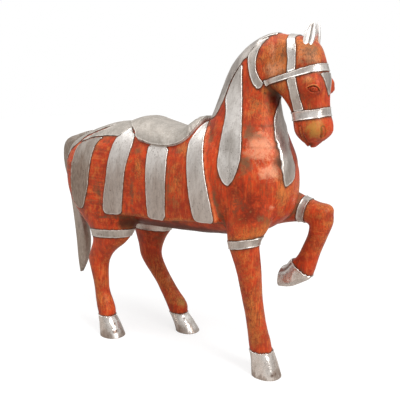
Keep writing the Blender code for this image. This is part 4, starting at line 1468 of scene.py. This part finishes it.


# Painted marks: kind, centre and reach in parts, strength, and 1 if they are on that side alone. Pale marks
# are painted sheen, partly paler paint; the dark red and brown marks hold painted shade as well as stains
MARKS = (
    ("pale", (610, -90, 735), (50, 60, 60), 0.60, 0),
    ("pale", (640, -80, 664), (40, 50, 30), 0.60, 0),
    ("pale", (660, -95, 690), (40, 50, 60), 0.40, 0),
    ("worn", (590, -80, 850), (44, 60, 46), 0.44, 0),
    ("worn", (545, -90, 720), (14, 50, 60), 0.50, 0),
    ("grime_and_shade", (574, -88, 781), (24, 40, 34), 0.62, 0),
    ("grime_and_shade", (600, -85, 765), (40, 40, 12), 0.42, 0),
    ("grime_and_shade", (578, -113, 682), (24, 40, 30), 0.66, 0),
    ("grime_and_shade", (600, -100, 640), (34, 40, 16), 0.40, 0),
    ("deep_red_and_shade", (600, -110, 540), (80, 60, 80), 0.56, 0),
    ("grime_and_shade", (560, -120, 560), (40, 50, 34), 0.36, 0),
    ("grime_and_shade", (650, -100, 590), (24, 50, 20), 0.36, 0),
    ("grime_and_shade", (640, -95, 520), (50, 50, 26), 0.36, 0),
    ("grime_and_shade", (668, -60, 690), (14, 40, 30), 0.46, 0),
    ("grime_and_shade", (560, -90, 918), (24, 60, 40), 0.42, 0),
    ("worn", (602, -48, 901), (16, 20, 14), 0.62, 0),
    # Painted shade under the jaw.
    ("deep_red_and_shade", (628, -20, 885), (26, 60, 30), 0.75, 0),
    ("deep_red_and_shade", (560, -110, 610), (60, 60, 44), 0.46, 0),
    ("grime_and_shade", (500, -120, 640), (20, 60, 60), 0.38, 0),
    ("worn", (690, -60, 600), (40, 60, 60), 0.44, 0),
    ("worn", (590, -90, 470), (60, 60, 36), 0.46, 0),
    ("pale", (652, -80, 558), (9, 20, 10), 0.60, 0),
    ("gold", (764, -40, 795), (26, 46, 32), 0.78, 1),
    ("deep_red_and_shade", (755, -70, 780), (16, 26, 30), 0.45, 0),
    ("grime_and_shade", (735, -60, 882), (34, 30, 14), 0.40, 0),
    ("worn", (748, -55, 858), (12, 40, 26), 0.44, 0),
    ("grime_and_shade", (728, -60, 842), (20, 30, 12), 0.36, 0),
    ("worn", (720, -62, 775), (16, 20, 22), 0.5, 0),
    ("deep_red_and_shade", (735, -30, 745), (40, 60, 16), 0.5, 0),
    ("worn", (748, -60, 930), (20, 30, 16), 0.46, 0),
    ("worn", (650, -60, 985), (72, 50, 64), 0.66, 0),
    ("grime_and_shade", (652, -58, 1012), (8, 30, 34), 0.50, 0),
    ("worn", (735, -45, 1005), (50, 50, 30), 0.48, 0),
    ("grime_and_shade", (735, -45, 985), (34, 40, 14), 0.50, 0),
    ("grime_and_shade", (742, -40, 1015), (30, 50, 40), 0.50, 0),
    ("pale", (735, -45, 1000), (40, 50, 34), 0.46, 0),
    ("pale", (640, -60, 965), (46, 50, 44), 0.46, 0),
    ("grime_and_shade", (600, -80, 850), (44, 50, 44), 0.38, 0),
    ("grime_and_shade", (690, -55, 850), (16, 50, 50), 0.50, 0),
    ("pale", (630, -60, 1010), (18, 40, 40), 0.44, 0),
    ("deep_red_and_shade", (650, -55, 900), (24, 60, 34), 0.55, 0),
    ("grime_and_shade", (640, -55, 910), (18, 60, 24), 0.40, 0),
    ("grime_and_shade", (664, -58, 998), (14, 30, 30), 0.56, 0),
    ("grime_and_shade", (640, -58, 984), (12, 30, 24), 0.44, 0),
    ("grime_and_shade", (668, -61, 955), (30, 30, 14), 0.44, 0),
    ("worn", (170, -130, 640), (22, 40, 60), 0.46, 0),
    ("grime_and_shade", (-20, -120, 640), (30, 30, 14), 0.40, 0),
    ("grime_and_shade", (175, -130, 560), (30, 30, 24), 0.34, 0),
    ("grime_and_shade", (330, -130, 560), (24, 30, 40), 0.34, 0),
    ("worn", (330, -130, 600), (40, 40, 110), 0.40, 0),
    ("worn", (350, -120, 720), (40, 40, 30), 0.46, 0),
    ("grime_and_shade", (160, -128, 702), (26, 30, 16), 0.55, 0),
    ("grime_and_shade", (322, -122, 706), (20, 30, 14), 0.50, 0),
    ("grime_and_shade", (145, -130, 560), (11, 30, 90), 0.52, 0),
    ("grime_and_shade", (300, -130, 600), (11, 30, 110), 0.46, 0),
    ("grime_and_shade", (-20, -125, 570), (40, 30, 34), 0.46, 0),
    ("worn", (-40, -110, 716), (26, 40, 16), 0.50, 0),
    ("grime_and_shade", (-40, -70, 440), (90, 60, 16), 0.44, 0),
    # Painted shade along the belly under the cloth's lower edge.
    ("deep_red_and_shade", (250, -60, 440), (260, 150, 26), 0.98, 0),
    ("grime_and_shade", (300, -60, 430), (200, 150, 14), 0.46, 0),
    ("deep_red_and_shade", (80, 80, 420), (110, 60, 90), 0.62, 1),
    ("grime_and_shade", (90, 85, 380), (50, 50, 40), 0.36, 1),
    ("gold", (187, 88, 106), (20, 30, 22), 0.62, 1),
    ("pale", (120, 100, 200), (10, 30, 60), 0.40, 1),
    ("grime_and_shade", (600, -80, 380), (26, 40, 30), 0.52, 0),
    ("worn", (600, -70, 200), (16, 40, 90), 0.40, 0),
)


def marks_on(points):
    """For each kind of mark, the strongest of its soft spots, most of them on both sides."""
    made = {kind: np.zeros(len(points)) for kind in ("pale", "worn", "grime_and_shade", "deep_red_and_shade", "gold")}
    for kind, centre, reach, strength, one_side in MARKS:
        x, y, z = centre
        for side in (1,) if one_side else (1, -1):
            spot = soft_spot(points, (x, y * side, z), reach)
            made[kind] = np.maximum(made[kind], strength * spot)
    return made


def joints_on(points):
    """The two level glue lines of the neck, wavering and broken."""
    x, _, z = points.T
    front = (x > 545) & (x < 648)
    waver = 1.5 * waves(points, 60, 31)
    total = np.zeros(len(points))
    for level, share in ((798, 0.9), (733, 0.6)):
        broken = np.clip(0.75 + 0.5 * waves(points, 40, 33), 0, 1)
        total += share * broken * bell(z - level - waver, 2.6)
    return np.where(front, total, 0)


def black_on(points):
    """The dark of the pupils and of the groove round each eye, and painted shade in the nostril grooves, the
    lips' parting and the throat line, under the jaw and on the belly under the cloth's edge.
    """
    x, y, z = points.T
    almond, b, ball = eye_shape(points)
    rim = 0.85 * bell(almond - 1.0, 0.13) * np.where(b > 0, 1.0, 0.75)
    pupil = np.where(almond < 1, 0.8 * np.exp(-((ball / 0.42) ** 4)), 0)
    round_ball = np.where(almond < 1, 0.5 * bell(ball - 1.0, 0.2), 0)
    # Painted shade in the grooves, under the jaw and in a band under the cloth.
    nostril = 0.55 * bell(nostril_distance(points) - 6.8, 2.2)
    belly = 0.80 * bell(z - 436, 24) * ((x > 20) & (x < 500) & (np.abs(y) < 118))
    lips = np.where((x > 700) & (z > 728) & (z < 756), 0.8, 0)
    lips = lips * bell(parting_distance(points), 3.0) * np.clip((752 - z) / 8, 0, 1)
    throat = 0.7 * bell(throat_distance(points), 2.0)
    jaw = 0.9 * soft_spot(points, (632, 0, 886), (24, 44, 26))
    return np.max([rim, pupil, round_ball, nostril, lips, throat, jaw, belly], axis=0)


def lid_and_wing_highlight_on(points):
    """The ochre of the upper lids, partly a painted highlight, and a painted highlight on the wings of the
    nostrils.
    """
    almond, b, _ = eye_shape(points)
    lid = bell(almond - 1.38, 0.18) * np.where(b > 0, 1.0, 0.12)
    return np.maximum(0.6 * lid, 0.4 * bell(nostril_distance(points), 2.8))


def bead_highlight_on(points):
    """A painted highlight on the bead beside the front edge of the foremost strips."""
    strip, ahead = beside_bead(points)
    return np.where(ahead, bell(strip - 6.0, 2.6), 0)


# What each metal is like: its darker and brighter tone, how dull it is, and what else sets it apart
METALS = {
    "grey_metal_sheet": ((0.40, 0.36, 0.33), (0.72, 0.67, 0.62), -0.06, {}),
    "bright_metal_strap": (
        (0.52, 0.47, 0.43), (0.98, 0.94, 0.90), -0.02, {"dents": 0.7, "rough": 0.24, "streak": 0.25},
    ),
    "strip_metal": ((0.74, 0.69, 0.65), (0.93, 0.89, 0.85), -0.12, {"low": (0.58, 0.70, 0.62)}),
    "rear_strip_metal": ((0.48, 0.42, 0.37), (0.64, 0.58, 0.52), -0.02, {"low": (0.62, 0.74, 0.8)}),
    "front_strip_metal": ((0.66, 0.61, 0.57), (0.86, 0.82, 0.78), -0.12, {"low": (0.56, 0.66, 0.36)}),
    "lappet_metal": ((0.54, 0.50, 0.46), (0.86, 0.82, 0.78), -0.14, {}),
    "dull_metal_sheet": ((0.44, 0.39, 0.35), (0.80, 0.75, 0.70), 0.0, {"dents": 0.5}),
    "hoof_metal": (
        (0.62, 0.56, 0.51), (1.0, 0.97, 0.93), -0.05,
        {"low": (0.006, 0.026, 0.7), "dents": 0.6, "rough": 0.20},
    ),
    "ear_metal": (
        (0.84, 0.80, 0.77), (0.98, 0.95, 0.92), -0.25, {"dents": 0.1, "streak": 0.1, "inside": True},
    ),
    "saddle_skin_metal": (
        (0.39, 0.358, 0.32), (0.53, 0.488, 0.442), -0.12, {"dents": 0.45, "rough": 0.62},
    ),
    "tail_metal_skin": ((0.30, 0.245, 0.20), (0.60, 0.53, 0.47), 0.03, {"root": True, "metallic": 0.7}),
    "nail_metal": ((0.20, 0.155, 0.12), (0.42, 0.35, 0.29), 0.0, {}),
}

# Which metal a sheet wears, by the start of its name; the first that fits counts, and grey if none does
WORN_BY = {
    "flank_strip_1": "rear_strip_metal", "flank_strip_4": "front_strip_metal",
    "flank_strip": "strip_metal", "leg_band": "dull_metal_sheet", "hoof_cap": "hoof_metal",
    "cheek": "dull_metal_sheet", "crown": "bright_metal_strap", "browband": "bright_metal_strap",
    "noseband": "bright_metal_strap", "mane_lappet_left": "dull_metal_sheet",
    "mane_lappet_right": "lappet_metal", "croup": "saddle_skin_metal",
}


# Building
def wood_piece(wood, fields):
    """The carved figure with its paint, and all that the paint needs to know kept at its corners."""
    points, triangles, outward = wood
    nearest = np.min(list(fields.values()), axis=0)
    smooth = relaxed(points, triangles, 14)
    bend = ((points - smooth) * outward).sum(axis=1)
    x, _, z = points.T
    upright = np.clip((470 - z) / 60, 0, 1) + np.clip((x - 20) / 300, 0, 1) * (z > 470)
    return piece(
        "carved_horse", points, triangles, red_painted_wood(), "horse", "painted_wood",
        seam=np.clip(nearest, -5, FAR), convex=np.clip(bend / 2.2, 0, 1),
        hollow=np.clip(-bend / 2.0, 0, 1), upright=np.clip(upright, 0, 1), joint=joints_on(points),
        black=black_on(points), lid=lid_and_wing_highlight_on(points), bead=bead_highlight_on(points), **marks_on(points),
    )


def build_horse():
    """The wood first, then each sheet over it, the saddle, the tail, the ears and the nails."""
    wood = carved_wood()
    fields = sheet_fields(wood[0])
    wood_piece(wood, fields)
    metals = {
        name: white_metal(name, (darker, brighter), wear, **settings)
        for name, (darker, brighter, wear, settings) in METALS.items()
    }
    for name, field in fields.items():
        worn = next((one for start, one in WORN_BY.items() if name.startswith(start)), "grey_metal_sheet")
        metal_sheet(name, field, wood, metals[worn])
    saddle_piece(metals["saddle_skin_metal"])
    tail_piece(metals["tail_metal_skin"])
    for name, side in (("ear_right", -1), ("ear_left", 1)):
        ear_piece(name, side, metals["ear_metal"])
    nails_piece(wood, metals["nail_metal"])


def area_light(name, place, aim, size, power):
    data = bpy.data.lights.new(name, "AREA")
    data.shape = "RECTANGLE"
    data.size, data.size_y = size
    data.energy = power
    obj = bpy.data.objects.new(name, data)
    bpy.context.scene.collection.objects.link(obj)
    obj.location = place
    direction = np.array(aim, float) - np.array(place, float)
    flat = math.hypot(direction[0], direction[1])
    obj.rotation_euler = (math.atan2(flat, -direction[2]), 0.0, math.atan2(-direction[0], direction[1]))


def photo_camera():
    """The photograph's view: from the front right, looking a little down."""
    place = (1.24894, -1.65021, 0.907)
    down = math.radians(10.5)
    round_to_front = math.radians(35)
    camera = bpy.data.cameras.new("camera")
    camera.lens = 54.0
    camera.sensor_width = 36.0
    obj = bpy.data.objects.new("camera", camera)
    bpy.context.scene.collection.objects.link(obj)
    obj.location = place
    obj.rotation_euler = (math.pi / 2 - down, 0.0, round_to_front)
    bpy.context.scene.camera = obj


def soft_world():
    """White to the camera; to the horse a soft room, darker towards the floor."""
    world = bpy.data.worlds.new("studio")
    bpy.context.scene.world = world
    world.use_nodes = True
    tree = world.node_tree
    tree.nodes.clear()
    seen = add(tree, "ShaderNodeBackground", (("Color", (1, 1, 1, 1)), ("Strength", 1.0)))
    place = add(tree, "ShaderNodeTexCoord").outputs["Generated"]
    height = add(tree, "ShaderNodeSeparateXYZ", (("Vector", place),)).outputs["Z"]
    low = mix(tree, step(tree, height, -0.05, 0.35), (0.42, 0.40, 0.385), (0.68, 0.67, 0.66))
    colour = mix(tree, step(tree, height, 0.25, 0.85), low, (1.0, 1.0, 1.0))
    lit = add(tree, "ShaderNodeBackground", (("Color", colour), ("Strength", 0.88)))
    ray = add(tree, "ShaderNodeLightPath").outputs["Is Camera Ray"]
    both = add(tree, "ShaderNodeMixShader", ((0, ray), (1, lit.outputs[0]), (2, seen.outputs[0])))
    out = add(tree, "ShaderNodeOutputWorld")
    tree.links.new(both.outputs[0], out.inputs["Surface"])


def studio_lights():
    """A soft sun from the camera's side, a large light overhead and a tall one at the front."""
    sun = bpy.data.lights.new("key", "SUN")
    sun.energy = 1.7
    sun.angle = math.radians(25)
    key = bpy.data.objects.new("key", sun)
    bpy.context.scene.collection.objects.link(key)
    key.rotation_euler = (math.radians(49), 0.0, math.atan2(0.9, 0.25))
    area_light("overhead", (-0.4, -0.8, 2.7), (0, 0, 0.6), (1.6, 1.2), 20)
    area_light("front", (2.6, -0.9, 1.5), (0.2, 0, 0.6), (0.7, 1.6), 18)


def studio_floor():
    bm = bmesh.new()
    bmesh.ops.create_grid(bm, x_segments=8, y_segments=8, size=14.0)
    mesh = bpy.data.meshes.new("floor")
    bm.to_mesh(mesh)
    bm.free()
    mesh.materials.append(pale_floor())
    floor = bpy.data.objects.new("floor", mesh)
    bpy.context.scene.collection.objects.link(floor)


def studio():
    bpy.context.scene.view_settings.view_transform = "Standard"
    photo_camera()
    soft_world()
    studio_lights()
    studio_floor()


build_horse()
studio()
